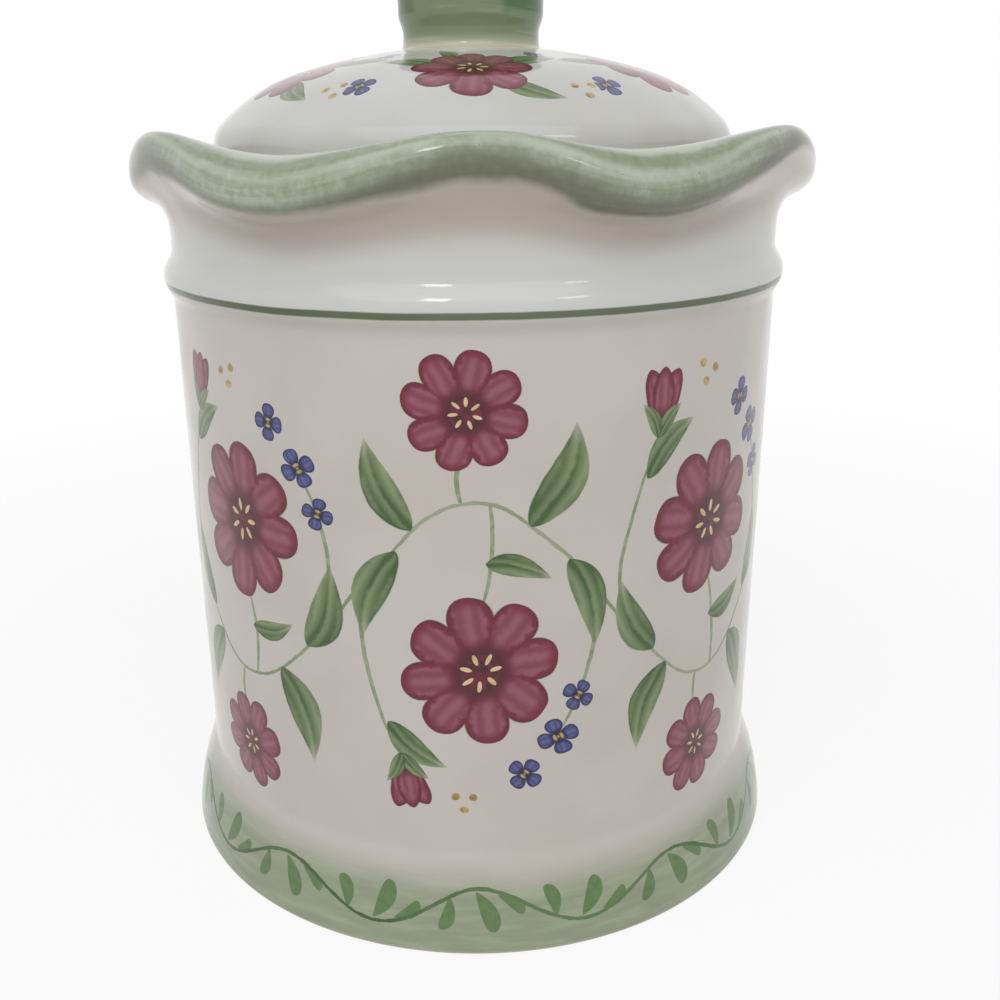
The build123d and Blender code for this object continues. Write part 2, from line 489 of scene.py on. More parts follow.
class BakeMap:
    """Flat layout of a turned wall for the bake: even strips cut down the wall or discs round its axis."""

    NAME = "OFBake"

    def __init__(self, piece: bpy.types.Object) -> None:
        """Give the piece an empty layout.

        Args:
            piece: Turned wall, not yet smoothed.
        """
        self.mesh = piece.data
        self.layer = self.mesh.uv_layers.new(name=self.NAME)
        self.walks = [entry.value for entry in self.mesh.attributes[Wheel.WALK].data]

    def _faces(self, start: float, end: float) -> List[bpy.types.MeshPolygon]:
        """Faces whose middle lies between two lengths along the outline.

        Args:
            start: Shorter length, in millimetres.
            end: Longer length.

        Returns:
            The faces.
        """
        chosen = []
        for face in self.mesh.polygons:
            walks = [self.walks[vert] for vert in face.vertices]
            if start <= sum(walks) / len(walks) <= end:
                chosen.append(face)
        return chosen

    @staticmethod
    def _around(place: Vector) -> float:
        """Angle of a place from the front."""
        return math.atan2(place.x, -place.y)

    def strip(self, start: float, end: float, sheets: Sequence[Sheet]) -> None:
        """Lay part of the wall out as strips of equal angle.

        Args:
            start: Where the part starts along the outline, in millimetres.
            end: Where it ends.
            sheets: Where each strip goes, the first round the front.
        """
        span = FULL_TURN / len(sheets)
        for face in self._faces(start, end):
            around = self._around(face.center)
            index = round(around / span) % len(sheets)
            sheet = sheets[index]
            for loop in face.loop_indices:
                vert = self.mesh.loops[loop].vertex_index
                place = self.mesh.vertices[vert].co
                turn = around if place.xy.length < MM else self._around(place)
                turn = (turn - index * span + math.pi) % FULL_TURN - math.pi
                middle = (around - index * span + math.pi) % FULL_TURN - math.pi
                if abs(turn - middle) > math.pi:
                    turn += math.copysign(FULL_TURN, middle - turn)
                climb = min(1.0, max(0.0, (self.walks[vert] - start) / (end - start)))
                self.layer.data[loop].uv = (
                    sheet.left + sheet.width * (turn / span + 0.5), sheet.low + sheet.height * climb)

    def disc(self, start: float, end: float, sheet: Sheet) -> None:
        """Lay part of the wall out as a disc, its start in the middle.

        Args:
            start: Where the part starts along the outline, in millimetres.
            end: Where it ends.
            sheet: Where the disc goes.
        """
        for face in self._faces(start, end):
            for loop in face.loop_indices:
                vert = self.mesh.loops[loop].vertex_index
                around = self._around(self.mesh.vertices[vert].co)
                reach = min(1.0, max(0.0, (self.walks[vert] - start) / (end - start))) / 2
                self.layer.data[loop].uv = (
                    sheet.left + sheet.width * (0.5 + reach * math.sin(around)),
                    sheet.low + sheet.height * (0.5 - reach * math.cos(around)))


Value = Union["Shade", float]
Colour = Union["Shade", Pigment, Rgba]
Ground = Tuple["Shade", "Shade"]


class Shade:
    """A shader socket that takes part in Python expressions."""

    def __init__(self, graph: "Graph", socket: bpy.types.NodeSocket) -> None:
        """Wrap an output socket of a graph."""
        self.graph = graph
        self.socket = socket

    def math(self, operation: str, *others: Value) -> "Shade":
        """Math node on this value and up to two others."""
        inputs = dict(enumerate((self, *others)))
        return self.graph.node("ShaderNodeMath", {"operation": operation}, inputs)

    def _reflected(self, operation: str, other: float) -> "Shade":
        """Math node with a number before this value."""
        return self.graph.node("ShaderNodeMath", {"operation": operation}, {0: other, 1: self})

    def __add__(self, other: Value) -> "Shade":
        """Sum."""
        return self.math("ADD", other)

    def __radd__(self, other: float) -> "Shade":
        """Sum with a number in front."""
        return self._reflected("ADD", other)

    def __sub__(self, other: Value) -> "Shade":
        """Difference."""
        return self.math("SUBTRACT", other)

    def __rsub__(self, other: float) -> "Shade":
        """Difference from a number."""
        return self._reflected("SUBTRACT", other)

    def __mul__(self, other: Value) -> "Shade":
        """Product."""
        return self.math("MULTIPLY", other)

    def __rmul__(self, other: float) -> "Shade":
        """Product with a number in front."""
        return self._reflected("MULTIPLY", other)

    def __truediv__(self, other: Value) -> "Shade":
        """Quotient."""
        return self.math("DIVIDE", other)

    def __rtruediv__(self, other: float) -> "Shade":
        """Quotient of a number by this value."""
        return self._reflected("DIVIDE", other)

    def __abs__(self) -> "Shade":
        """Size without its sign."""
        return self.math("ABSOLUTE")

    def step(self, start: float, end: float) -> "Shade":
        """Smooth step from 0 at start to 1 at end, where start may be the larger.

        Args:
            start: Value at which the step starts.
            end: Value at which it is full.

        Returns:
            The step, held between 0 and 1.
        """
        low, high = min(start, end), max(start, end)
        ends = {3: 0.0, 4: 1.0} if start <= end else {3: 1.0, 4: 0.0}
        settings = {"interpolation_type": "SMOOTHSTEP", "clamp": True}
        return self.graph.node("ShaderNodeMapRange", settings, {0: self, 1: low, 2: high, **ends})

    def ramp(self, stops: Sequence[Point]) -> "Shade":
        """Curve through stops of place and value."""
        return self.graph.node("ShaderNodeValToRGB", {"stops": stops}, {0: self}, "Alpha")


class Graph:
    """Node graph of a material, a brush or the room."""

    def __init__(self, tree: bpy.types.NodeTree) -> None:
        """Start on an empty tree."""
        self.tree = tree
        self.tree.nodes.clear()

    def node(
        self, kind: str, settings: Optional[Dict[str, Any]] = None,
        inputs: Optional[Dict[Union[int, str], Any]] = None, output: Union[int, str] = 0,
    ) -> Shade:
        """Add any node.

        Args:
            kind: Blender's type of the node.
            settings: What is set on the node first. stops are those of a ramp.
            inputs: Values, pigments or links of its sockets, by index or name.
            output: Socket to give back, by index or name.

        Returns:
            The output socket, ready for expressions.
        """
        made = self.tree.nodes.new(kind)
        for key, value in (settings or {}).items():
            if key == "stops":
                self._stops(made.color_ramp, value)
            else:
                setattr(made, key, value)
        for key, value in (inputs or {}).items():
            if isinstance(value, Shade):
                self.tree.links.new(value.socket, made.inputs[key])
            else:
                made.inputs[key].default_value = value.linear if isinstance(value, Pigment) else value
        return Shade(self, made.outputs[output] if len(made.outputs) else None)

    @staticmethod
    def _stops(ramp: bpy.types.ColorRamp, stops: Sequence[Point]) -> None:
        """Set a ramp's stops, each a place and an alpha.

        Args:
            ramp: Ramp of a new node.
            stops: Places and alphas in order.
        """
        for index, (place, value) in enumerate(stops):
            entry = ramp.elements[index] if index < 2 else ramp.elements.new(place)
            entry.position = place
            entry.color = (1, 1, 1, value)

    def parts(self, vector: Shade) -> Tuple[Shade, Shade, Shade]:
        """The three values of a vector.

        Args:
            vector: Socket of a vector.

        Returns:
            Its x, y and z.
        """
        first = self.node("ShaderNodeSeparateXYZ", None, {0: vector})
        outputs = first.socket.node.outputs
        return first, Shade(self, outputs[1]), Shade(self, outputs[2])

    def vector(self, x: Value, y: Value, z: Value) -> Shade:
        """A vector of three values."""
        return self.node("ShaderNodeCombineXYZ", None, {0: x, 1: y, 2: z})

    def noise(self, place: Shade, scale: float, detail: float = 2.0, output: str = "Fac") -> Shade:
        """Cloudy noise."""
        return self.node(
            "ShaderNodeTexNoise", None, {"Vector": place, "Scale": scale, "Detail": detail}, output)

    def mix(self, share: Value, start: Colour, end: Colour) -> Shade:
        """Colour between two others."""
        return self.node("ShaderNodeMix", {"data_type": "RGBA"}, {0: share, 6: start, 7: end}, 2)


class Brush(Graph):
    """Node group that lays one stroke, or a ring of equal ones, over a colour."""

    shelf: Dict[Tuple[Touch, bool], "Brush"] = {}
    COLOURS = ("Under", "Dark", "Light")
    SHARED = ("U", "V", "X", "Y", "Cosine", "Sine", "Long", "Wide", "Grain")
    STROKE = ("Bend",)
    RING = ("Half", "Slim", "Spin")

    def __init__(self, touch: Touch, ring: bool) -> None:
        """Make the brush.

        Args:
            touch: Shape of its stroke.
            ring: Whether it lays a ring of strokes.
        """
        super().__init__(bpy.data.node_groups.new(f"brush_{touch.name.lower()}", "ShaderNodeTree"))
        for name in self.COLOURS:
            self.tree.interface.new_socket(name, in_out="INPUT", socket_type="NodeSocketColor")
        for name in (*self.SHARED, *(self.RING if ring else self.STROKE)):
            self.tree.interface.new_socket(name, in_out="INPUT", socket_type="NodeSocketFloat")
        self.tree.interface.new_socket("Over", in_out="OUTPUT", socket_type="NodeSocketColor")
        outputs = self.node("NodeGroupInput").socket.node.outputs
        self.given = {socket.name: Shade(self, socket) for socket in outputs if socket.name}
        right, up = self.given["U"] - self.given["X"], self.given["V"] - self.given["Y"]
        cosine, sine = self.given["Cosine"], self.given["Sine"]
        along = (right * cosine + up * sine) / self.given["Long"]
        across = (up * cosine - right * sine) / self.given["Wide"]
        along, across = self._ring(along, across) if ring else self._stroke(along, across)
        self.node("NodeGroupOutput", None, {"Over": self._loaded(along, across, touch)})

    @classmethod
    def pick(cls, touch: Touch, ring: bool) -> "Brush":
        """Brush from the shelf, made at its first use.

        Args:
            touch: Shape of its stroke.
            ring: Whether it lays a ring of strokes.

        Returns:
            The brush.
        """
        if (touch, ring) not in cls.shelf:
            cls.shelf[touch, ring] = cls(touch, ring)
        return cls.shelf[touch, ring]

    def _stroke(self, along: Shade, across: Shade) -> Ground:
        """Shares along and across one bent stroke, from those of a straight one."""
        return along, across - along * (1 - along) * self.given["Bend"]

    def _ring(self, right: Shade, up: Shade) -> Ground:
        """Shares along and across the nearest stroke of a ring, from the place in the ring.

        Args:
            right: Place along the first axis of the ring, as a share of its radius.
            up: Place along the second axis.

        Returns:
            The two shares.
        """
        reach = (right * right + up * up).math("SQRT")
        turn = up.math("ARCTAN2", right) + self.given["Spin"]
        turn = turn.math("WRAP", self.given["Half"], self.given["Half"] * -1.0)
        return reach * turn.math("COSINE"), reach * turn.math("SINE") * self.given["Slim"]

    def _loaded(self, along: Shade, across: Shade, touch: Touch) -> Shade:
        """Colour with the stroke laid over it.

        Args:
            along: Share of the way along the stroke.
            across: Share of half its width across it.
            touch: Shape of the brush.

        Returns:
            The new colour.
        """
        # The numbers below are shares along the stroke, shares across it, and strengths
        grain = self.given["Grain"] - 0.5
        dark, light = self.given["Dark"], self.given["Light"]
        inside = along.ramp(touch.stops) - abs(across)
        mask = inside.step(0.0, 0.08)
        streak = (across * 9.0 + along * 1.5 + grain * 2.5).math("SINE") * 0.5 + 0.5
        if touch.load is Load.POOLED:
            patch = (inside + grain * 0.5).step(0.20, 0.46) * along.step(0.30, 0.50) * along.step(0.97, 0.80)
            rim = (inside + grain * 0.15).step(0.20, 0.0) * along.step(0.25, 0.85)
            shade = rim.math("MAXIMUM", along.step(0.48, 0.18)) * 0.66
            paint = self.mix(shade, self.mix(patch * (streak * 0.6 + 0.4), dark, light), BLACK)
        elif touch.load is Load.STREAKED:
            rib = abs(across + 0.10 + grain * 0.15).step(0.20, 0.0)
            edge = inside.step(0.30, 0.03) * across.step(-0.2, 0.2)
            tone = along * 0.6 + streak * 0.4 + grain * 0.25 - across * 0.2
            paint = self.mix(tone - rib * 0.4 - edge * 0.4, dark, light)
            mask = mask * along.step(1.15, 0.75)
        else:
            paint = self.mix((grain + 0.5).step(0.3, 0.7), dark, light)
        return self.mix(mask, self.given["Under"], paint)


@dataclass(frozen=True)
class Stroke:
    """One brush stroke, in millimetres on the painted ground.

    x and y are where it starts, heading is in degrees from the ground's first axis, and bend is how far
    its middle stands off the straight line.
    """

    x: float
    y: float
    heading: float
    length: float
    width: float
    bend: float
    touch: Touch
    dark: Pigment
    light: Pigment


@dataclass(frozen=True)
class Rosette:
    """Equal strokes round a middle, in millimetres: a flower's petals, its dots or a small blossom."""

    x: float
    y: float
    petals: int
    radius: float
    width: float
    turn: float
    touch: Touch
    dark: Pigment
    light: Pigment


class Tint(NamedTuple):
    """Colour laid where a value passes a soft border, with its strength."""

    start: float
    full: float
    share: float
    pigment: Pigment


class Painter(Graph):
    """Underglaze painter: lays strokes over a ground colour, one after another, and fires the piece.

    Scales are those of noise on millimetres. SWAY and SHAKE are a scale and a share of the hand's stray.
    """

    CLOUD_SCALE = 0.035
    GRAIN_SCALE = 0.55
    RELIEF_SCALE = 0.05
    SWAY = (0.03, 1.0)
    SHAKE = (0.25, 0.08)
    BARE_DULL = 0.6

    def __init__(self, name: str, ground: Pigment = Pigment.WHITE, shade: Pigment = Pigment.CREAM) -> None:
        """Start on a ground with a cloudy shade, with the piece's own coordinates in millimetres.

        Args:
            name: Name of the material.
            ground: Colour of the ground.
            shade: Colour of its clouds.
        """
        self.material = bpy.data.materials.new(name)
        self.material.use_nodes = True
        super().__init__(self.material.node_tree)
        place = self.node("ShaderNodeTexCoord", None, None, "Object")
        self.place = self.node("ShaderNodeVectorMath", {"operation": "SCALE"}, {0: place, "Scale": 1 / MM})
        self.x, self.y, self.z = self.parts(self.place)
        self.around = self.x.math("ARCTAN2", self.y * -1.0)
        self.cloud = self.noise(self.place, self.CLOUD_SCALE, 3.0)
        self.grain = self.noise(self.place, self.GRAIN_SCALE, 2.0)
        self.colour: Colour = self.mix(self.cloud.step(0.3, 0.72), ground, shade)

    def stored(self, layer: str) -> Shade:
        """Value that the wheel left on the wall."""
        return self.node("ShaderNodeAttribute", {"attribute_name": layer}, None, "Fac")

    def out(self) -> Shade:
        """Distance from the axis, in millimetres."""
        return (self.x * self.x + self.y * self.y).math("SQRT")

    def tint(self, tone: Colour, value: Shade, tint: Tint, where: Optional[Shade] = None) -> Shade:
        """Lay a tint over a tone.

        Args:
            tone: Colour below.
            value: What has to pass the tint's border.
            tint: What is laid.
            where: Mask that holds it back.

        Returns:
            The new tone.
        """
        mask = value.step(tint.start, tint.full)
        if where is not None:
            mask = mask * where
        if tint.share != 1:
            mask = mask * tint.share
        return self.mix(mask, tone, tint.pigment)

    def lay(self, mask: Value, colour: Colour) -> None:
        """Lay a colour over the ground where the mask is 1."""
        self.colour = self.mix(mask, self.colour, colour)

    def wavering(self, u: Value, v: Value, stray: float) -> Ground:
        """Painted place, moved about as an unsteady hand would.

        Args:
            u: Place along the ground's first axis, in millimetres.
            v: Place along its second axis.
            stray: How far the hand strays.

        Returns:
            The moved place along both axes.
        """
        for scale, share in (self.SWAY, self.SHAKE):
            drift = self.noise(self.place, scale, 1.0, "Color")
            sideways = self.node("ShaderNodeSeparateColor", None, {0: drift})
            upward = Shade(self, sideways.socket.node.outputs[1])
            u = (sideways - 0.5) * (4 * stray * share) + u
            v = (upward - 0.5) * (4 * stray * share) + v
        return u, v

    def _brush(
        self, ground: Ground, stroke: Union[Stroke, Rosette], heading: float, extra: Dict[str, Value],
    ) -> None:
        """Lay a stroke or a ring of them.

        Args:
            ground: Place along both axes of the ground.
            stroke: What is laid.
            heading: Its direction from the first axis, in degrees.
            extra: Inputs that only its brush has.
        """
        turn = math.radians(heading)
        brush = Brush.pick(stroke.touch, isinstance(stroke, Rosette))
        self.colour = self.node("ShaderNodeGroup", {"node_tree": brush.tree}, {
            "Under": self.colour, "Dark": stroke.dark, "Light": stroke.light, "U": ground[0],
            "V": ground[1], "X": stroke.x, "Y": stroke.y, "Cosine": math.cos(turn), "Sine": math.sin(turn),
            "Grain": self.grain, **extra})

    def stroke(self, ground: Ground, stroke: Stroke) -> None:
        """Lay one stroke on the ground.

        Args:
            ground: Place along both axes of the ground.
            stroke: What is laid.
        """
        half = stroke.width / 2
        self._brush(ground, stroke, stroke.heading, {
            "Long": stroke.length, "Wide": half, "Bend": 4 * stroke.bend / half})

    def rosette(self, ground: Ground, rosette: Rosette, spin: Value = 0.0) -> None:
        """Lay a rosette on the ground.

        Args:
            ground: Place along both axes of the ground.
            rosette: What is laid.
            spin: Further turn, in radians.
        """
        self._brush(ground, rosette, rosette.turn, {
            "Long": rosette.radius, "Wide": rosette.radius, "Half": math.pi / rosette.petals,
            "Slim": 2 * rosette.radius / rosette.width, "Spin": spin})

    def wave(
        self, u: Shade, v: Shade, period: float, swing: float, width: float,
        colours: Tuple[Pigment, Pigment],
    ) -> None:
        """Lay a waving stem.

        Args:
            u: Place along the stem's run, in millimetres.
            v: Place across it.
            period: Length of a wave.
            swing: How far it swings to either side.
            width: Width of the stem.
            colours: Dark and light colour.
        """
        pace = FULL_TURN / period
        run = u * pace
        slope = run.math("SINE") * (swing * pace)
        off = (v - run.math("COSINE") * swing) / (slope * slope + 1.0).math("SQRT")
        thick = self.grain * (width * 0.6) + width * 0.2
        mask = (abs(off) / thick).step(0.62, 0.42)
        dark, light = colours
        self.lay(mask, self.mix(self.cloud.step(0.4, 0.6), dark, light))

    def bays(self, reach: float, count: int) -> Tuple[Shade, Shade, Shade]:
        """Divide the way round into equal bays.

        Args:
            reach: Radius of the way, in millimetres.
            count: Number of bays.

        Returns:
            Place along the bay from its middle, the bay's number, and 1 or -1 in turn.
        """
        bay = FULL_TURN * reach / count
        run = self.around * reach
        index = (run / bay + 0.5).math("FLOOR")
        side = 1.0 - index.math("FLOORED_MODULO", 2.0) * 2.0
        return run - index * bay, index, side

    def fire(self, bare: Value, dull: float, depth: float) -> bpy.types.Material:
        """Close the graph with a glossy surface.

        Args:
            bare: 1 where the clay has no glaze.
            dull: Roughness of the glaze.
            depth: Depth of its slow unevenness, in metres.

        Returns:
            The finished material.
        """
        rough = self.grain * 0.05 + self.cloud * 0.06 + dull
        if isinstance(bare, Shade):
            self.lay(bare, self.mix(self.grain, Pigment.CLAY, Pigment.CREAM))
            rough = rough + bare * self.BARE_DULL
        relief = self.noise(self.place, self.RELIEF_SCALE, 1.0)
        bump = self.node("ShaderNodeBump", None, {"Strength": 1.0, "Distance": depth, "Height": relief})
        surface = self.node("ShaderNodeBsdfPrincipled", None, {
            "Base Color": self.colour, "Roughness": rough, "Normal": bump})
        self.node("ShaderNodeOutputMaterial", None, {0: surface})
        return self.material


def daisy(x: float, y: float, radius: float, turn: float) -> List[Rosette]:
    """Wine-red daisy with a dark middle and a ring of pale dots.

    Args:
        x: Middle along the ground, in millimetres.
        y: Middle across it.
        radius: Radius of the flower.
        turn: Direction of its first petal, in degrees.

    Returns:
        Rosettes in the order that they are laid.
    """
    return [
        Rosette(x, y, 8, radius, radius * 0.60, turn, Touch.PETAL, Pigment.WINE_DARK, Pigment.WINE_LIGHT),
        Rosette(x, y, 5, radius * 0.24, radius * 0.36, turn, Touch.DAB, Pigment.WINE_DEEP, Pigment.WINE_DARK),
        Rosette(x, y, 7, radius * 0.27, radius * 0.06, turn, Touch.DOT, Pigment.OCHRE, Pigment.OCHRE_PALE),
    ]


def blossom(x: float, y: float, radius: float, turn: float) -> List[Rosette]:
    """Small four-petalled blue blossom with an ochre eye.

    Args:
        x: Middle along the ground, in millimetres.
        y: Middle across it.
        radius: Radius of the flower.
        turn: Direction of its first petal, in degrees.

    Returns:
        Rosettes in the order that they are laid.
    """
    return [
        Rosette(x, y, 4, radius, radius * 0.92, turn, Touch.ROUND, Pigment.BLUE, Pigment.BLUE_LIGHT),
        Rosette(x, y, 2, radius * 0.26, radius * 0.40, turn, Touch.ROUND, Pigment.OCHRE_DARK, Pigment.OCHRE),
    ]


def leaf(x: float, y: float, heading: float, length: float, bend: float) -> Stroke:
    """Lance-shaped leaf."""
    width = length * 0.38
    return Stroke(x, y, heading, length, width, bend, Touch.LEAF, Pigment.LEAF_DARK, Pigment.LEAF_LIGHT)


def stem(x: float, y: float, heading: float, length: float, bend: float) -> Stroke:
    """Thin stem."""
    return Stroke(x, y, heading, length, 1.0, bend, Touch.STEM, Pigment.VINE, Pigment.VINE_PALE)


def bud(x: float, y: float, heading: float, length: float) -> List[Stroke]:
    """Closed bud of three wine-red strokes in a green cup.

    Args:
        x: Foot along the ground, in millimetres.
        y: Foot across it.
        heading: Direction of its tip, in degrees.
        length: Length of its petals.

    Returns:
        Strokes in the order that they are laid.
    """
    width = length * 0.42
    petals = [
        Stroke(x, y, heading + lean, length, width, bend, Touch.DROP, Pigment.WINE_DARK, Pigment.WINE_LIGHT)
        for lean, bend in ((15, -0.8), (-15, 0.8), (0, 0.0))
    ]
    cup = [leaf(x, y, heading + lean, length * 0.62, bend) for lean, bend in ((36, -0.7), (-36, 0.7))]
    return petals + cup


def dots(x: float, y: float, radius: float, width: float) -> Rosette:
    """Three ochre dots round a middle."""
    return Rosette(x, y, 3, radius, width, 30.0, Touch.DOT, Pigment.OCHRE_DARK, Pigment.OCHRE)


class Soft(NamedTuple):
    """Soft border: where it starts and where it is full, which may be the smaller of the two."""

    start: float
    full: float


@dataclass(frozen=True)
class Garland:
    """Waving garland of the wall, in equal bays of which every second one is upside down."""

    bays: int = 8
    swing: float = 25.0
    width: float = 1.5
    stray: float = 1.2
    lean: float = 0.05
    lean_pace: float = 2.3
    spin: float = 0.7

    def paint(self, paint: Painter, reach: float, middle: float) -> None:
        """Paint the garland.

        Args:
            paint: Painter of the jar.
            reach: Radius of the wall, in millimetres.
            middle: Height that the stem waves about.
        """
        along, index, side = paint.bays(reach, self.bays)
        u, climb = paint.wavering(along, paint.z - middle, self.stray)
        v = climb * side
        period = FULL_TURN * reach / self.bays * 2
        paint.wave(u, v, period, self.swing, self.width, (Pigment.VINE, Pigment.VINE_PALE))
        lean = (index * self.lean_pace).math("SINE") * self.lean
        ground = (u - v * lean, v + u * lean)
        for stroke in self._strokes():
            paint.stroke(ground, stroke)
        for rosette in self._flowers():
            paint.rosette(ground, rosette, index * self.spin)

    @staticmethod
    def _strokes() -> List[Stroke]:
        """Stems, leaves and the bud of one bay.

        Returns:
            Strokes on the ground of the bay.
        """
        return [
            stem(3.0, 25.0, -98.0, 26.0, 2.0),
            stem(-3.0, 25.0, 88.0, 12.0, 1.0),
            stem(-26.0, 5.0, -79.0, 42.0, -3.5),
            stem(26.5, 5.0, -103.0, 36.0, 3.0),
            leaf(12.0, 20.0, 68.0, 24.0, -2.4),
            leaf(-14.0, 18.5, 114.0, 23.0, 2.4),
            leaf(20.0, 12.0, -74.0, 23.0, 2.4),
            leaf(-18.0, 14.0, -112.0, 22.0, -2.2),
            leaf(2.0, 12.0, -18.0, 15.0, 1.6),
            leaf(-21.0, -28.0, -38.0, 18.0, -1.8),
            *bud(-18.0, -36.0, -80.0, 15.0),
        ]

    @staticmethod
    def _flowers() -> List[Rosette]:
        """Flowers, blossoms and dots of one bay.

        Returns:
            Rosettes on the ground of the bay.
        """
        return [
            *daisy(0.0, -14.0, 18.5, 10.0),
            *daisy(-2.0, 45.0, 13.0, 30.0),
            *blossom(18.5, -31.0, 4.6, 20.0),
            *blossom(23.0, -21.0, 3.8, 60.0),
            *blossom(11.0, -40.0, 4.2, 50.0),
            dots(-3.0, -48.0, 3.4, 2.2),
        ]


@dataclass(frozen=True)
class FootWash:
    """Green wash of the foot and the sprig that runs round it, in millimetres."""

    blur: float = 7.0
    fade: Soft = Soft(3.0, -8.0)
    hair_rate: Point = (5.0, 0.4)
    hair_share: float = 0.4
    pale: Tint = Tint(0.3, 0.75, 1.0, Pigment.FOOT_PALE)
    paces: int = 20
    swing: float = 4.6
    width: float = 1.7
    stray: float = 0.5
    middle: float = 0.46
    leaf_slim: float = 0.42
    leaf_bend: float = 0.8

    def paint(self, paint: Painter, reach: float, top: float) -> None:
        """Paint the foot.

        Args:
            paint: Painter of the jar.
            reach: Radius of the wall above the foot, in millimetres.
            top: Height of the foot.
        """
        wash = (paint.z + paint.cloud * self.blur).step(top + self.fade.start, top + self.fade.full)
        around, upward = self.hair_rate
        hairs = paint.noise(paint.vector(paint.around * around, paint.z * upward, 0.0), 1.0, 3.0)
        tone = paint.tint(Pigment.FOOT_GREEN, hairs, self.pale)
        paint.lay(wash * (hairs * self.hair_share + (1 - self.hair_share)), tone)
        along, _, side = paint.bays(reach, self.paces)
        u, climb = paint.wavering(along, paint.z - top * self.middle, self.stray)
        v = climb * side
        for x, y, heading, length in (
            (-1.0, 4.0, -66.0, 10.0), (4.0, 3.2, -36.0, 7.2), (-7.0, 3.0, -104.0, 8.0),
        ):
            width = length * self.leaf_slim
            paint.stroke((u, v), Stroke(
                x, y, heading, length, width, self.leaf_bend, Touch.DAB, Pigment.FOOT_LEAF, Pigment.LEAF))
        period = FULL_TURN * reach / self.paces * 2
        paint.wave(u, v, period, self.swing, self.width, (Pigment.LEAF_DARK, Pigment.FOOT_LEAF))


@dataclass(frozen=True)
class ShoulderGlaze:
    """Clearer, bluer glaze on the bead and the cove, partly painted light that lifts the shade under the lip,
    and the green line with its haze, in millimetres.
    """

    painted_light_low: Soft = Soft(1.0, 4.0)
    painted_light_high: Soft = Soft(168.0, 157.5)
    thin_share: float = 0.9
    waver: float = 0.9
    line_rise: float = 3.2
    line: Soft = Soft(0.95, 0.55)
    line_share: Point = (0.82, 0.3)
    haze_low: Soft = Soft(-6.0, 0.0)
    haze_high: Soft = Soft(0.4, -0.2)
    haze_share: float = 0.12

    def paint(self, paint: Painter, bead: float) -> None:
        """Paint the shoulder.

        Args:
            paint: Painter of the jar.
            bead: Height at which the bead starts, in millimetres.
        """
        # Clearer, bluer glaze on the bead and the cove, partly painted light over the shade under the lip
        low = paint.z.step(bead + self.painted_light_low.start, bead + self.painted_light_low.full)
        paint.lay(low * paint.z.step(*self.painted_light_high) * self.thin_share, Pigment.CLEAR)
        height = paint.z + (paint.cloud - 0.5) * self.waver - (bead + self.line_rise)
        haze = height.step(*self.haze_low) * height.step(*self.haze_high)
        paint.lay(haze * self.haze_share, Pigment.SAGE_DARK)
        least, more = self.line_share
        share = (paint.cloud * more + least).math("MINIMUM", 1.0)
        paint.lay(abs(height).step(*self.line) * share, Pigment.OLIVE)


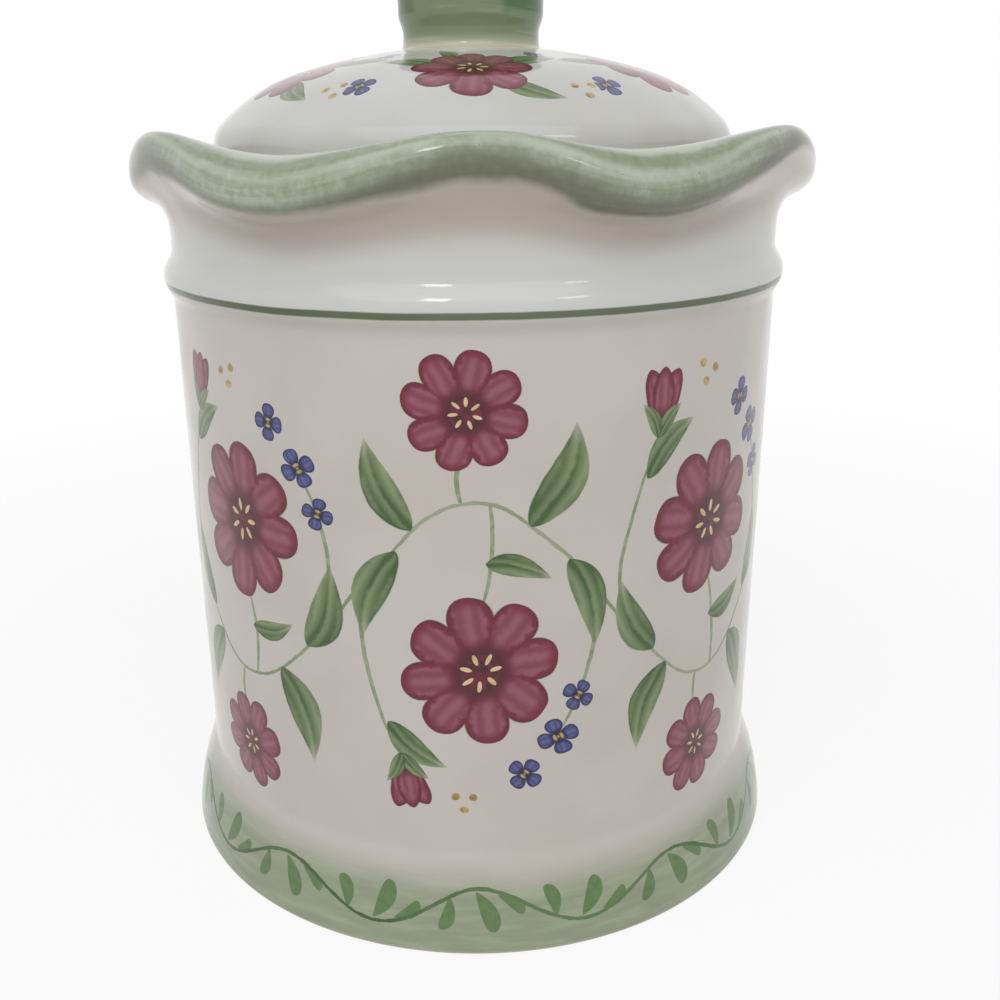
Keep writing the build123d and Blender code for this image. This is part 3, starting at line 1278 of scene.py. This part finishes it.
@dataclass(frozen=True)
class LipWash:
    """Green wash brushed along the lip, with painted shade under the lip and along the wash's lower edge, and
    a painted highlight along its ridge.

    Places on the lip go from 0 at its foot to 1 inside, and turns round it are in radians from the front.
    """

    # Painted shade under the lip: its heights, how much lower it reaches under the troughs, where it stops on
    # the lip, and its strength
    pool: Soft = Soft(161.5, 168.0)
    under_lip_sink: float = 5.0
    under_lip_end: Soft = Soft(0.42, 0.30)
    under_lip_share: float = 0.65
    hair_rate: Point = (0.03, 18.0)
    blot_scale: float = 0.08
    blot_reach: float = 0.07
    pale: Tint = Tint(0.45, 0.80, 1.0, Pigment.SAGE_PALE)
    dark: Tint = Tint(0.50, 0.34, 1.0, Pigment.SAGE_DARK)
    dab_dark: Tint = Tint(0.50, 0.34, 0.26, Pigment.SAGE_DARK)
    dab_light: Tint = Tint(0.50, 0.66, 0.4, Pigment.SAGE_WHITE)
    behind_place: float = 0.59
    behind: Tint = Tint(0.045, 0.01, 0.5, Pigment.SAGE_DARK)
    # Painted highlight along the lip's ridge: where it runs, how far it sinks in the troughs, its width and
    # strength
    ridge_place: float = 0.575
    ridge_sink: float = 0.05
    ridge_highlight: Soft = Soft(0.035, 0.0)
    ridge_share: float = 0.6
    crown_sink: float = 0.06
    crown: Soft = Soft(0.66, 0.71)
    crown_share: float = 0.7
    low_sink: float = 0.14
    # Darker lower edge of the wash, partly its own paint and partly painted shade
    low: Tint = Tint(0.56, 0.40, 0.8, Pigment.LIP_SHADE)
    short_start: Soft = Soft(0.75, 1.12)
    short_end: Soft = Soft(1.9, 1.5)
    short_low: float = 0.12
    short_hem: float = 0.15
    long_turn: float = 0.43
    long_reach: Soft = Soft(0.30, 0.12)
    long_low: float = 0.06
    long_hem: float = 0.05
    hem: Soft = Soft(0.29, 0.35)
    inner: Soft = Soft(0.92, 0.78)
    thick: Soft = Soft(0.74, 0.60)
    thin_share: float = 0.5
    speck_scale: float = 1.1
    speck: Soft = Soft(0.83, 0.85)
    speck_low: Soft = Soft(0.36, 0.42)
    speck_high: Soft = Soft(0.7, 0.6)
    speck_share: float = 0.5

    def paint(self, paint: Painter) -> None:
        """Lay painted shade under the lip and brush the wash along its edge.

        Args:
            paint: Painter of the jar.
        """
        lip = paint.stored(Wheel.LIP)
        across, along = self.hair_rate
        hairs = paint.noise(paint.vector(paint.x * across, paint.y * across, lip * along), 1.0, 4.0)
        blot = paint.noise(paint.place, self.blot_scale, 3.0)
        trough = paint.stored(Wheel.DIP)
        # Painted shade under the lip, reaching lower under the troughs of the ruffle
        pool = (paint.z + trough * self.under_lip_sink).step(*self.pool) * lip.step(*self.under_lip_end)
        paint.lay(pool * self.under_lip_share, Pigment.POOL)
        edge = lip + (blot - 0.5) * self.blot_reach
        tone = self._tone(paint, hairs, blot, edge, trough)
        short = paint.around.step(*self.short_start) * paint.around.step(*self.short_end)
        long = abs(paint.around - self.long_turn).step(*self.long_reach)
        # Darker lower edge of the wash, partly its own paint and partly painted shade: stronger at the
        # crests, in the right trough and at the right end
        low = edge + trough * self.low_sink - long * self.long_low - short * self.short_low
        tone = paint.tint(tone, low, self.low)
        thick = edge.step(*self.thick) * (1 - self.thin_share) + self.thin_share
        hem = edge + long * self.long_hem - short * self.short_hem
        paint.lay(hem.step(*self.hem) * edge.step(*self.inner) * thick, tone)
        specks = paint.noise(paint.place, self.speck_scale, 0.0).step(*self.speck)
        specks = specks * edge.step(*self.speck_low) * edge.step(*self.speck_high)
        paint.lay(specks * self.speck_share, Pigment.SPECK)

    def _tone(self, paint: Painter, hairs: Shade, blot: Shade, edge: Shade, trough: Shade) -> Shade:
        """Green of the wash with a painted highlight along its ridge, before the painted shade of its lower
        edge is laid.

        Args:
            paint: Painter of the jar.
            hairs: Marks of the brush along the lip.
            blot: Soft blots.
            edge: Place on the lip, blurred.
            trough: How deep in a trough of the ruffle it is.

        Returns:
            The tone.
        """
        tone = paint.tint(Pigment.SAGE, hairs * 0.8 + blot * 0.4, self.pale)
        tone = paint.tint(tone, hairs * 0.9 + blot * 0.3, self.dark)
        dabs = paint.grain * 0.7 + hairs * 0.3
        for tint in (self.dab_dark, self.dab_light):
            tone = paint.tint(tone, dabs, tint)
        tone = paint.tint(tone, abs(edge - self.behind_place), self.behind, trough)
        # Painted highlight: a pale stripe along the lip's ridge
        ridge_highlight = abs(edge + trough * self.ridge_sink - self.ridge_place).step(*self.ridge_highlight)
        crown = (edge + trough * self.crown_sink).step(*self.crown)
        return paint.mix(ridge_highlight * self.ridge_share + crown * self.crown_share, tone, Pigment.SAGE_WHITE)


@dataclass(frozen=True)
class JarGlaze:
    """White glaze with a painted garland, green washes on the lip and the foot, and a bare foot ring."""

    wall_radius: float
    bead_low: float
    foot_top: float
    ring_radius: float = 71.0
    ring: Soft = Soft(1.3, 0.5)
    dull: float = 0.05
    depth: float = 0.0008

    def material(self) -> bpy.types.Material:
        """Mix the glaze, with nothing but the wash of the lip painted inside the wall's outer face.

        Returns:
            The finished material.
        """
        paint = Painter("jar_glaze")
        ground = paint.colour
        Garland().paint(paint, self.wall_radius, (self.foot_top + self.bead_low) / 2)
        FootWash().paint(paint, self.wall_radius, self.foot_top)
        ShoulderGlaze().paint(paint, self.bead_low)
        out = paint.out()
        paint.lay(out.step(self.wall_radius - 1, self.wall_radius - 2), ground)
        LipWash().paint(paint)
        bare = paint.z.step(*self.ring) * out.step(self.ring_radius - 1, self.ring_radius)
        return paint.fire(bare, self.dull, self.depth)


@dataclass(frozen=True)
class LidGlaze:
    """Cooler, whiter glaze than the jar's, partly painted light from above, with a ring of painted flowers on
    the dome, in millimetres.
    """

    seat: float
    edge: float
    flower_radius: float = 43.0
    bays: int = 6
    stray: float = 0.9
    spin: float = 0.5
    fade: float = 2.0
    bare: Soft = Soft(0.9, 0.2)
    dull: float = 0.05
    depth: float = 0.0008

    def material(self) -> bpy.types.Material:
        """Mix the glaze, with nothing painted past the edge, counted along the outline from the vent.

        Returns:
            The finished material.
        """
        # The lid's ground is cooler and whiter than the jar's, partly painted light from above
        paint = Painter("lid_glaze", Pigment.CLEAR, Pigment.CLEAR_SHADE)
        ground = paint.colour
        walk = paint.stored(Wheel.WALK)
        out = paint.out()
        along, index, _ = paint.bays(self.flower_radius, self.bays)
        place = paint.wavering(along, self.flower_radius - out, self.stray)
        for stroke in (
            leaf(6.0, 2.0, 14.0, 18.0, 1.8), leaf(-6.0, 1.0, 168.0, 18.0, -1.8),
            leaf(5.0, -6.0, -32.0, 13.0, -1.2), leaf(-4.0, 7.0, 128.0, 13.0, -1.2),
        ):
            paint.stroke(place, stroke)
        for rosette in (
            *daisy(0.0, 0.0, 12.5, 0.0), *blossom(19.0, 11.0, 3.4, 10.0),
            *blossom(-20.0, -9.0, 3.2, 40.0), dots(20.0, -10.0, 2.8, 1.8),
        ):
            paint.rosette(place, rosette, index * self.spin)
        paint.lay(walk.step(self.edge - self.fade, self.edge), ground)
        bare = paint.z.step(self.seat + self.bare.start, self.seat + self.bare.full)
        return paint.fire(bare, self.dull, self.depth)


@dataclass(frozen=True)
class KnobGlaze:
    """Sage green glaze, pale where it is thin at the base and darker where the brush was set down."""

    base: float
    top: float
    hair_rate: Point = (0.05, 0.5)
    blur: float = 0.08
    thin: Tint = Tint(0.0, 0.11, 1.0, Pigment.KNOB_GREEN)
    marks: int = 3
    mark_turn: float = -1.85
    mark_waver: float = 2.0
    mark: Soft = Soft(0.05, 0.5)
    mark_low: Soft = Soft(0.23, 0.27)
    mark_high: Soft = Soft(0.72, 0.50)
    mark_share: float = 0.8
    pale: Tint = Tint(0.52, 0.70, 0.3, Pigment.SAGE_PALE)
    dull: float = 0.07
    depth: float = 0.0006

    def material(self) -> bpy.types.Material:
        """Mix the glaze.

        Returns:
            The finished material.
        """
        paint = Painter("knob_glaze")
        climb = (paint.z - self.base) / (self.top - self.base)
        across, along = self.hair_rate
        streak = paint.noise(paint.vector(paint.x * across, paint.y * across, paint.z * along), 1.0, 4.0)
        edge = climb + (streak - 0.5) * self.blur
        paint.colour = paint.tint(Pigment.KNOB_PALE, edge, self.thin)
        marks = paint.around * self.marks + paint.cloud * self.mark_waver + self.mark_turn
        marks = marks.math("SINE").step(*self.mark) * edge.step(*self.mark_low) * edge.step(*self.mark_high)
        paint.lay(marks * self.mark_share, Pigment.KNOB_DARK)
        paint.colour = paint.tint(paint.colour, streak, self.pale)
        return paint.fire(0.0, self.dull, self.depth)


@dataclass(frozen=True)
class SealRubber:
    """Milky silicone with a fine bloom."""

    dull: float = 0.42
    depth: float = 0.0001

    def material(self) -> bpy.types.Material:
        """Mix the rubber."""
        paint = Painter("seal_silicone", Pigment.RUBBER, Pigment.RUBBER_SHADE)
        return paint.fire(0.0, self.dull, self.depth)


@dataclass
class Part:
    """A piece of the canister: a turned wall that stands for a solid of the frame."""

    body: ClassVar[Body]
    node: ClassVar[Node]
    slot: ClassVar[Slot]
    columns: int = 144

    def build(self) -> bpy.types.Object:
        """Turn the wall."""
        raise NotImplementedError

    def finish(self) -> bpy.types.Material:
        """Mix its material."""
        raise NotImplementedError

    def make(self) -> None:
        """Build the piece, smooth it, dress it and hand it to the frame."""
        piece = self.build()
        Wheel.smooth(piece)
        piece.data.materials.append(self.finish())
        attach(piece, self.body.value)
        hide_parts(self.node.value)
        LOG.info("%s: %d faces", piece.name, len(piece.data.polygons))


@dataclass
class Jar(Part):
    """Jar with a flared foot, a straight wall, a bead, a cove and a ruffled lip. Sizes in millimetres."""

    body = Body.JAR
    node = Node.JAR
    slot = Slot.JAR
    wall_radius: float = 76.0
    foot_height: float = 24.0
    foot_spread: float = 6.4
    foot_rise: float = 0.9
    foot_start: Point = (-0.25, 1.0)
    foot_end: Point = (0.72, -2.9)
    foot_blend: float = 6.0
    foot_roundover: float = 1.0
    recess_radius: float = 72.4
    recess_depth: float = 3.0
    bead_low: float = 145.6
    bead_height: float = 8.6
    bead_rise: float = 1.9
    bead_blend: float = 3.5
    cove_radius: float = 5.0
    neck_radius: float = 75.5
    neck_height: float = 160.5
    lip_height: float = 22.8
    lip_overhang: float = 7.0
    sway: float = 2.0
    dip: float = 6.4
    gallery_radius: float = 68.5
    ledge_height: float = 170.0
    mouth_radius: float = 60.0
    throat_height: float = 163.0
    cavity_radius: float = 70.0
    cavity_top: float = 153.0
    floor_height: float = 10.0

    def _outside(self) -> List[Point]:
        """Outline from the middle of the underside out and up to the neck.

        Returns:
            Points of the outline.
        """
        base = self.wall_radius + self.foot_spread
        start = (base + self.foot_start[0], self.foot_start[1])
        end = (self.wall_radius + self.foot_end[0], self.foot_height + self.foot_end[1])
        foot = swelled(start, end, self.foot_rise, 7)
        sole = rounded([
            (2.0, self.recess_depth, 0), (self.recess_radius - 1.5, self.recess_depth, 1.0),
            (self.recess_radius, 0.0, 0.5), (base, 0.0, self.foot_roundover), foot[1] + (0,)])
        wall = rounded([
            foot[-2] + (0,), (self.wall_radius, self.foot_height, self.foot_blend),
            (self.wall_radius, self.bead_low - 4.0, 0)])
        return [*sole[:-1], *foot[1:-1], *wall[1:], *self._bead()]

    def _bead(self) -> List[Point]:
        """Outline of the bead, its soft lower edge and the cove above it, as arcs.

        Returns:
            Points of the outline.
        """
        half = self.bead_height / 2
        radius = (half ** 2 + self.bead_rise ** 2) / (2 * self.bead_rise)
        middle = (self.wall_radius + self.bead_rise - radius, self.bead_low + half)
        under, over = radius + self.bead_blend, radius + self.cove_radius
        low = math.acos((self.wall_radius + self.bead_blend - middle[0]) / under)
        high = math.acos((self.neck_radius + self.cove_radius - middle[0]) / over)
        low_centre = (self.wall_radius + self.bead_blend, middle[1] - under * math.sin(low))
        high_centre = (self.neck_radius + self.cove_radius, middle[1] + over * math.sin(high))
        low, high = math.degrees(low), math.degrees(high)
        return [
            *arc(low_centre, self.bead_blend, 270, 270 + low, 4),
            *arc(middle, radius, 90 + low, 90 - high, 8)[1:],
            *arc(high_centre, self.cove_radius, 270 - high, 270, 5)[1:]]

    def _lip(self) -> List[Row]:
        """Rows of the ruffled lip from the neck up and over to the gallery.

        Each set of shares is the way out or in, the rise, the sway, the dip and the place on the lip.

        Returns:
            Rows of the lip.
        """
        outside = (
            (0.0, 0.0, 0.0, 0.0, 0.0), (0.05, 0.165, 0.0, 0.15, 0.08), (0.26, 0.365, 0.08, 0.53, 0.18),
            (0.62, 0.530, 0.70, 0.87, 0.28), (0.89, 0.660, 1.00, 0.96, 0.35),
            (0.98, 0.790, 0.88, 1.00, 0.44), (0.94, 0.920, 0.60, 1.02, 0.53),
            (0.66, 1.000, 0.20, 0.78, 0.62), (0.14, 0.965, -0.40, 0.48, 0.74))
        inside = (
            (0.14, 0.850, -0.55, 0.32, 0.84), (0.40, 0.705, -0.40, 0.20, 0.92), (1.0, 0.58, 0.0, 0.0, 1.0))
        way_in = self.neck_radius - self.gallery_radius
        rows = []
        for reach, shares in ((self.lip_overhang, outside), (-way_in, inside)):
            for out, rise, sway, dip, place in shares:
                lift = rise if place < 1 else 0.0
                rows.append(Row(
                    self.neck_radius + reach * out, self.neck_height + self.lip_height * rise,
                    self.sway * sway, self.dip * dip, place, lift))
        return flowing(rows, 3)

    def _inside(self) -> List[Point]:
        """Outline from the gallery down over the ledge and the cavity to the middle of the floor.

        Returns:
            Points of the outline.
        """
        return rounded([
            (self.gallery_radius, self.ledge_height + 3.2, 0), (self.gallery_radius, self.ledge_height, 0.8),
            (self.mouth_radius, self.ledge_height, 1.2), (self.mouth_radius, self.throat_height, 1.2),
            (self.cavity_radius, self.cavity_top, 4.0), (self.cavity_radius, self.floor_height, 9.0),
            (2.0, self.floor_height, 0)])

    def build(self) -> bpy.types.Object:
        """Turn the jar and lay out its map.

        Returns:
            The wall, not yet smoothed.
        """
        outside = plain(self._outside(), 7.0)
        lip = self._lip()
        inside = plain(self._inside(), 9.0)
        rows = [*outside, *lip, *inside]
        piece = Wheel(self.columns).turn("canister_jar", rows, looped=False)
        walks = walked(rows)
        rim = walks[next(i for i, row in enumerate(rows) if row.radius > self.wall_radius + 4)]
        over = walks[len(outside) + len(lip) - 4]
        layout = BakeMap(piece)
        layout.strip(rim, over, (Sheet(0.004, 0.504, 0.70, 0.492), Sheet(0.004, 0.004, 0.70, 0.492)))
        layout.strip(0.0, rim, (Sheet(0.716, 0.004, 0.28, 0.24),))
        layout.strip(over, walks[-1], (Sheet(0.716, 0.254, 0.28, 0.742),))
        return piece

    def finish(self) -> bpy.types.Material:
        """Mix the jar's glaze."""
        return JarGlaze(self.wall_radius, self.bead_low, self.foot_height).material()


class Dome(NamedTuple):
    """Centres of a dome's three arcs from the edge inwards, and the radius of the crown, in millimetres."""

    roll: Point
    shoulder: Point
    crown: Point
    crown_radius: float


@dataclass
class Lid(Part):
    """Domed lid with a flange, a skirt with the groove for the seal, and the vent under the knob."""

    body = Body.LID
    node = Node.LID
    slot = Slot.LID
    seat: float = 170.0
    flange_radius: float = 67.5
    flange_thickness: float = 5.0
    dome_radius: float = 63.5
    dome_side: float = 4.7
    roll_radius: float = 7.0
    shoulder_radius: float = 45.0
    crown_angle: float = 16.5
    shoulder_angle: float = 45.0
    wall: float = 5.0
    vent_radius: float = 3.0
    skirt_radius: float = 55.5
    skirt_inner: float = 51.0
    keeper_radius: float = 57.5
    keeper_top: float = 161.7
    skirt_bottom: float = 158.2
    land_radius: float = 17.1

    def _dome(self) -> Dome:
        """Arcs of the dome, which run into each other.

        Returns:
            Their centres, and the radius of the crown.
        """
        crown, shoulder = math.radians(self.crown_angle), math.radians(self.shoulder_angle)
        roll = (self.dome_radius - self.roll_radius, self.seat + self.flange_thickness + self.dome_side)
        span = self.shoulder_radius - self.roll_radius
        bend = (roll[0] - span * math.sin(shoulder), roll[1] - span * math.cos(shoulder))
        reach = self.roll_radius * (1 - math.sin(shoulder))
        reach += self.shoulder_radius * (math.sin(shoulder) - math.sin(crown))
        radius = (self.dome_radius - reach) / math.sin(crown)
        span = radius - self.shoulder_radius
        top = (bend[0] - span * math.sin(crown), bend[1] - span * math.cos(crown))
        return Dome(roll, bend, top, radius)

    def _outside(self, dome: Dome) -> List[Point]:
        """Outline from the vent out over the knob's land and the dome, and round the flange.

        Args:
            dome: Arcs of the dome.

        Returns:
            Points of the outline.
        """
        flange = self.seat + self.flange_thickness
        land = math.degrees(math.asin(self.land_radius / dome.crown_radius))
        crown = arc(dome.crown, dome.crown_radius, land, self.crown_angle, 4)
        height = crown[0][1]
        return [
            (self.vent_radius, height), (self.vent_radius + 0.6, height), (self.land_radius - 1, height),
            *crown,
            *arc(dome.shoulder, self.shoulder_radius, self.crown_angle, self.shoulder_angle, 6)[1:],
            *arc(dome.roll, self.roll_radius, self.shoulder_angle, 90, 6)[1:],
            *rounded([
                (self.dome_radius, flange + self.dome_side - 0.6, 0), (self.dome_radius, flange, 1.5),
                (self.flange_radius, flange, 1.6), (self.flange_radius, self.seat, 1.2),
                (self.skirt_radius + 2, self.seat, 0)])]

    def _under(self, dome: Dome) -> List[Point]:
        """Outline from the flange down round the skirt, and up under the dome to the vent.

        Args:
            dome: Arcs of the dome.

        Returns:
            Points of the outline.
        """
        inner = dome.crown_radius - self.wall
        vent = math.degrees(math.asin(self.vent_radius / inner))
        reach = self.shoulder_radius - self.wall
        ceiling = arc(dome.shoulder, reach, self.shoulder_angle, self.crown_angle, 5)
        return [
            *rounded([
                (self.skirt_radius + 0.8, self.seat, 0), (self.skirt_radius, self.seat, 0.3),
                (self.skirt_radius, self.keeper_top, 0.3), (self.keeper_radius, self.keeper_top, 0.8),
                (self.keeper_radius, self.skirt_bottom, 0.8), (self.skirt_inner, self.skirt_bottom, 0.8),
                (self.skirt_inner, self.seat, 6.0), ceiling[0] + (0,)]),
            *ceiling[1:],
            *arc(dome.crown, inner, self.crown_angle, vent, 4)[1:]]

    def _rows(self) -> Tuple[List[Row], float]:
        """Rings of the lid, and where its painted face ends.

        Returns:
            Rows, and the length from the vent to the flange's lower edge.
        """
        dome = self._dome()
        rows = plain([*self._outside(dome), *self._under(dome)], 6.0)
        edge = next(index for index, row in enumerate(rows) if row.height < self.seat + 0.6)
        return rows, walked(rows)[edge]

    def build(self) -> bpy.types.Object:
        """Turn the lid and lay out its map.

        Returns:
            The wall, not yet smoothed.
        """
        rows, edge = self._rows()
        piece = Wheel(self.columns).turn("canister_lid", rows, looped=True)
        layout = BakeMap(piece)
        layout.disc(0.0, edge, Sheet(0.004, 0.254, 0.742, 0.742))
        layout.strip(edge, walked(rows)[-1], (Sheet(0.004, 0.004, 0.992, 0.24),))
        return piece

    def finish(self) -> bpy.types.Material:
        """Mix the lid's glaze."""
        _, edge = self._rows()
        return LidGlaze(self.seat, edge).material()


@dataclass
class Knob(Part):
    """Hollow turned knob with a neck, a stepped band and a swelling grip."""

    body = Body.LID
    node = Node.KNOB
    slot = Slot.KNOB
    columns: int = 96
    neck_radius: float = 16.5
    neck_height: float = 4.8
    step: float = 1.1
    step_height: float = 2.0
    band_height: float = 4.2
    swell: float = 3.4
    swell_height: float = 9.5
    wall: float = 4.5
    slip: float = 1.7
    slip_sink: float = 0.28

    def build(self) -> bpy.types.Object:
        """Turn the knob on the land that the frame gives, with a roll of slip round its foot.

        Returns:
            The wall, not yet smoothed.
        """
        low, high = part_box(Node.KNOB.value)
        land, top = low.z / MM, high.z / MM
        band = self.neck_radius + self.step
        grip = band + self.swell
        bore = self.neck_radius - self.wall
        step = land + self.neck_height
        ledge = step + self.step_height
        swell = ledge + self.band_height
        waist = swell + self.swell_height
        roll = (self.neck_radius + self.slip, land + self.slip - self.slip_sink)
        up, down, outward = (0, 1), (0, -1), (1, 0)
        points = [
            *eased((0.6, top), (grip, waist), outward, down, 12),
            *eased((grip, waist), (band, swell), down, down, 6)[1:],
            *eased((band, ledge + 1.2), (self.neck_radius, step - 1.2), down, down, 6),
            *arc(roll, self.slip, 270, 180, 5)[1:],
            *rounded([(self.neck_radius, land, 0), (bore, land, 0.5), (bore, swell, 0)])[1:],
            *eased((bore, swell), (0.6, top - self.wall), up, (-1, 0), 8)[1:]]
        return Wheel(self.columns).turn("canister_knob", plain(points, 3.0), looped=False)

    def finish(self) -> bpy.types.Material:
        """Mix the knob's glaze."""
        low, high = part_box(Node.KNOB.value)
        return KnobGlaze(low.z / MM, high.z / MM).material()


@dataclass
class Seal(Part):
    """Soft ring on the lid's skirt: a band with fins that wipe the mouth."""

    body = Body.SEAL
    node = Node.SEAL
    slot = Slot.SEAL
    columns: int = 128
    inner: float = 55.8
    band: float = 57.4
    outer: float = 59.7
    fins: int = 2
    tip_share: float = 0.35
    root_share: float = 0.75

    def build(self) -> bpy.types.Object:
        """Turn the ring between the heights that the frame gives.

        Returns:
            The wall, not yet smoothed.
        """
        low, high = (corner.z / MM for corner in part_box(Node.SEAL.value))
        room = (high - low) / self.fins
        corners = [(self.inner, (low + high) / 2, 0), (self.inner, low, 0.3), (self.band, low, 0.2)]
        for fin in range(self.fins):
            corners.append((self.outer, low + room * (fin + self.tip_share), 0.25))
            corners.append((self.band, low + room * (fin + self.root_share), 0.25))
        corners += [(self.band, high, 0.3), (self.inner, high, 0.3), (self.inner, (low + high) / 2 + 1, 0)]
        return Wheel(self.columns).turn("canister_seal", plain(rounded(corners, 2), 2.0), looped=True)

    def finish(self) -> bpy.types.Material:
        """Mix the ring's rubber."""
        return SealRubber().material()


@dataclass
class Studio:
    """White paper floor, soft lamps and the camera."""

    paper_half: float = 3.0
    paper_glow: float = 0.86
    paper_near: float = 0.16
    paper_far: float = 0.55
    room_light: float = 0.47
    lens: float = 39.85
    sensor: float = 36.0
    pitch: float = 19.03
    roll: float = -0.66
    distance: float = 0.2925
    height: float = 0.1854
    shift: float = 0.0237

    def floor(self) -> None:
        """Lay the paper that the jar stands on."""
        bpy.ops.object.select_all(action="DESELECT")
        bpy.ops.mesh.primitive_grid_add(x_subdivisions=8, y_subdivisions=8, size=self.paper_half * 2)
        paper = bpy.context.active_object
        paper.name = "paper"
        material = bpy.data.materials.new("paper")
        material.use_nodes = True
        graph = Graph(material.node_tree)
        place = graph.node("ShaderNodeTexCoord", None, None, "Object")
        tone = graph.mix(graph.noise(place, 40.0, 4.0), Pigment.PAPER, Pigment.PAPER_SHADE)
        matt = graph.node("ShaderNodeBsdfDiffuse", None, {"Color": tone})
        glow = graph.node("ShaderNodeEmission", None, {"Strength": 1.0})
        off = graph.node("ShaderNodeVectorMath", {"operation": "LENGTH"}, {0: place}, "Value")
        share = off.step(self.paper_near, self.paper_far) * (1 - self.paper_glow) + self.paper_glow
        shown = graph.node("ShaderNodeMixShader", None, {0: self._seen(graph) * share, 1: matt, 2: glow})
        graph.node("ShaderNodeOutputMaterial", None, {0: shown})
        paper.data.materials.append(material)

    def light(self) -> None:
        """Hang the lamps and fill the room with even light."""
        world = bpy.data.worlds.new("room")
        bpy.context.scene.world = world
        world.use_nodes = True
        graph = Graph(world.node_tree)
        fill = graph.node("ShaderNodeBackground", None, {"Color": (1, 1, 1, 1), "Strength": self.room_light})
        white = graph.node("ShaderNodeBackground", None, {"Color": (1, 1, 1, 1), "Strength": 1.0})
        shown = graph.node("ShaderNodeMixShader", None, {0: self._seen(graph), 1: fill, 2: white})
        graph.node("ShaderNodeOutputWorld", None, {0: shown})
        self._lamp("ceiling", (-0.1, -0.75, 1.1), (1.7, 1.1), 5.7)
        self._lamp("window_left", (-0.21, -0.80, 0.66), (0.15, 0.17), 0.7)
        self._lamp("window_right", (0.56, -0.72, 0.72), (0.13, 0.12), 0.25)

    @staticmethod
    def _seen(graph: Graph) -> Shade:
        """1 for what the camera sees by itself, in a gloss or through glass.

        Args:
            graph: Graph of the paper or the room.

        Returns:
            The share.
        """
        path = graph.node("ShaderNodeLightPath", None, None, "Is Camera Ray")
        outputs = path.socket.node.outputs
        for name in ("Is Glossy Ray", "Is Transmission Ray"):
            path = path.math("MAXIMUM", Shade(graph, outputs[name]))
        return path

    @staticmethod
    def _lamp(name: str, place: Tuple[float, float, float], sides: Point, power: float) -> None:
        """Hang one soft lamp that faces the jar.

        Args:
            name: Name of the lamp.
            place: Where it hangs, in metres.
            sides: Its width and height.
            power: Its power, in watts.
        """
        lamp = bpy.data.lights.new(name, "AREA")
        lamp.shape = "RECTANGLE"
        lamp.size, lamp.size_y = sides
        lamp.energy = power
        holder = bpy.data.objects.new(name, lamp)
        holder.location = place
        holder.rotation_euler = (Vector((0, 0, 0.1)) - Vector(place)).to_track_quat("-Z", "Y").to_euler()
        bpy.context.scene.collection.objects.link(holder)

    def camera(self) -> None:
        """Set the camera where the photograph was taken from."""
        lens = bpy.data.cameras.new("camera")
        lens.lens = self.lens
        lens.sensor_width = self.sensor
        lens.shift_x = self.shift
        lens.clip_start = 0.01
        holder = bpy.data.objects.new("camera", lens)
        tilt = Matrix.Rotation(math.radians(90 - self.pitch), 4, "X")
        twist = Matrix.Rotation(math.radians(self.roll), 4, "Z")
        holder.matrix_world = Matrix.Translation((0, -self.distance, self.height)) @ tilt @ twist
        bpy.context.scene.collection.objects.link(holder)
        bpy.context.scene.camera = holder


def main() -> None:
    """Build the canister and its studio."""
    logging.basicConfig(level=logging.INFO, format="%(name)s %(message)s")
    bpy.context.scene.view_settings.view_transform = "Standard"
    for part in (Jar(), Lid(), Knob(), Seal()):
        part.make()
    studio = Studio()
    studio.floor()
    studio.light()
    studio.camera()


if __name__ == "__main__":
    main()
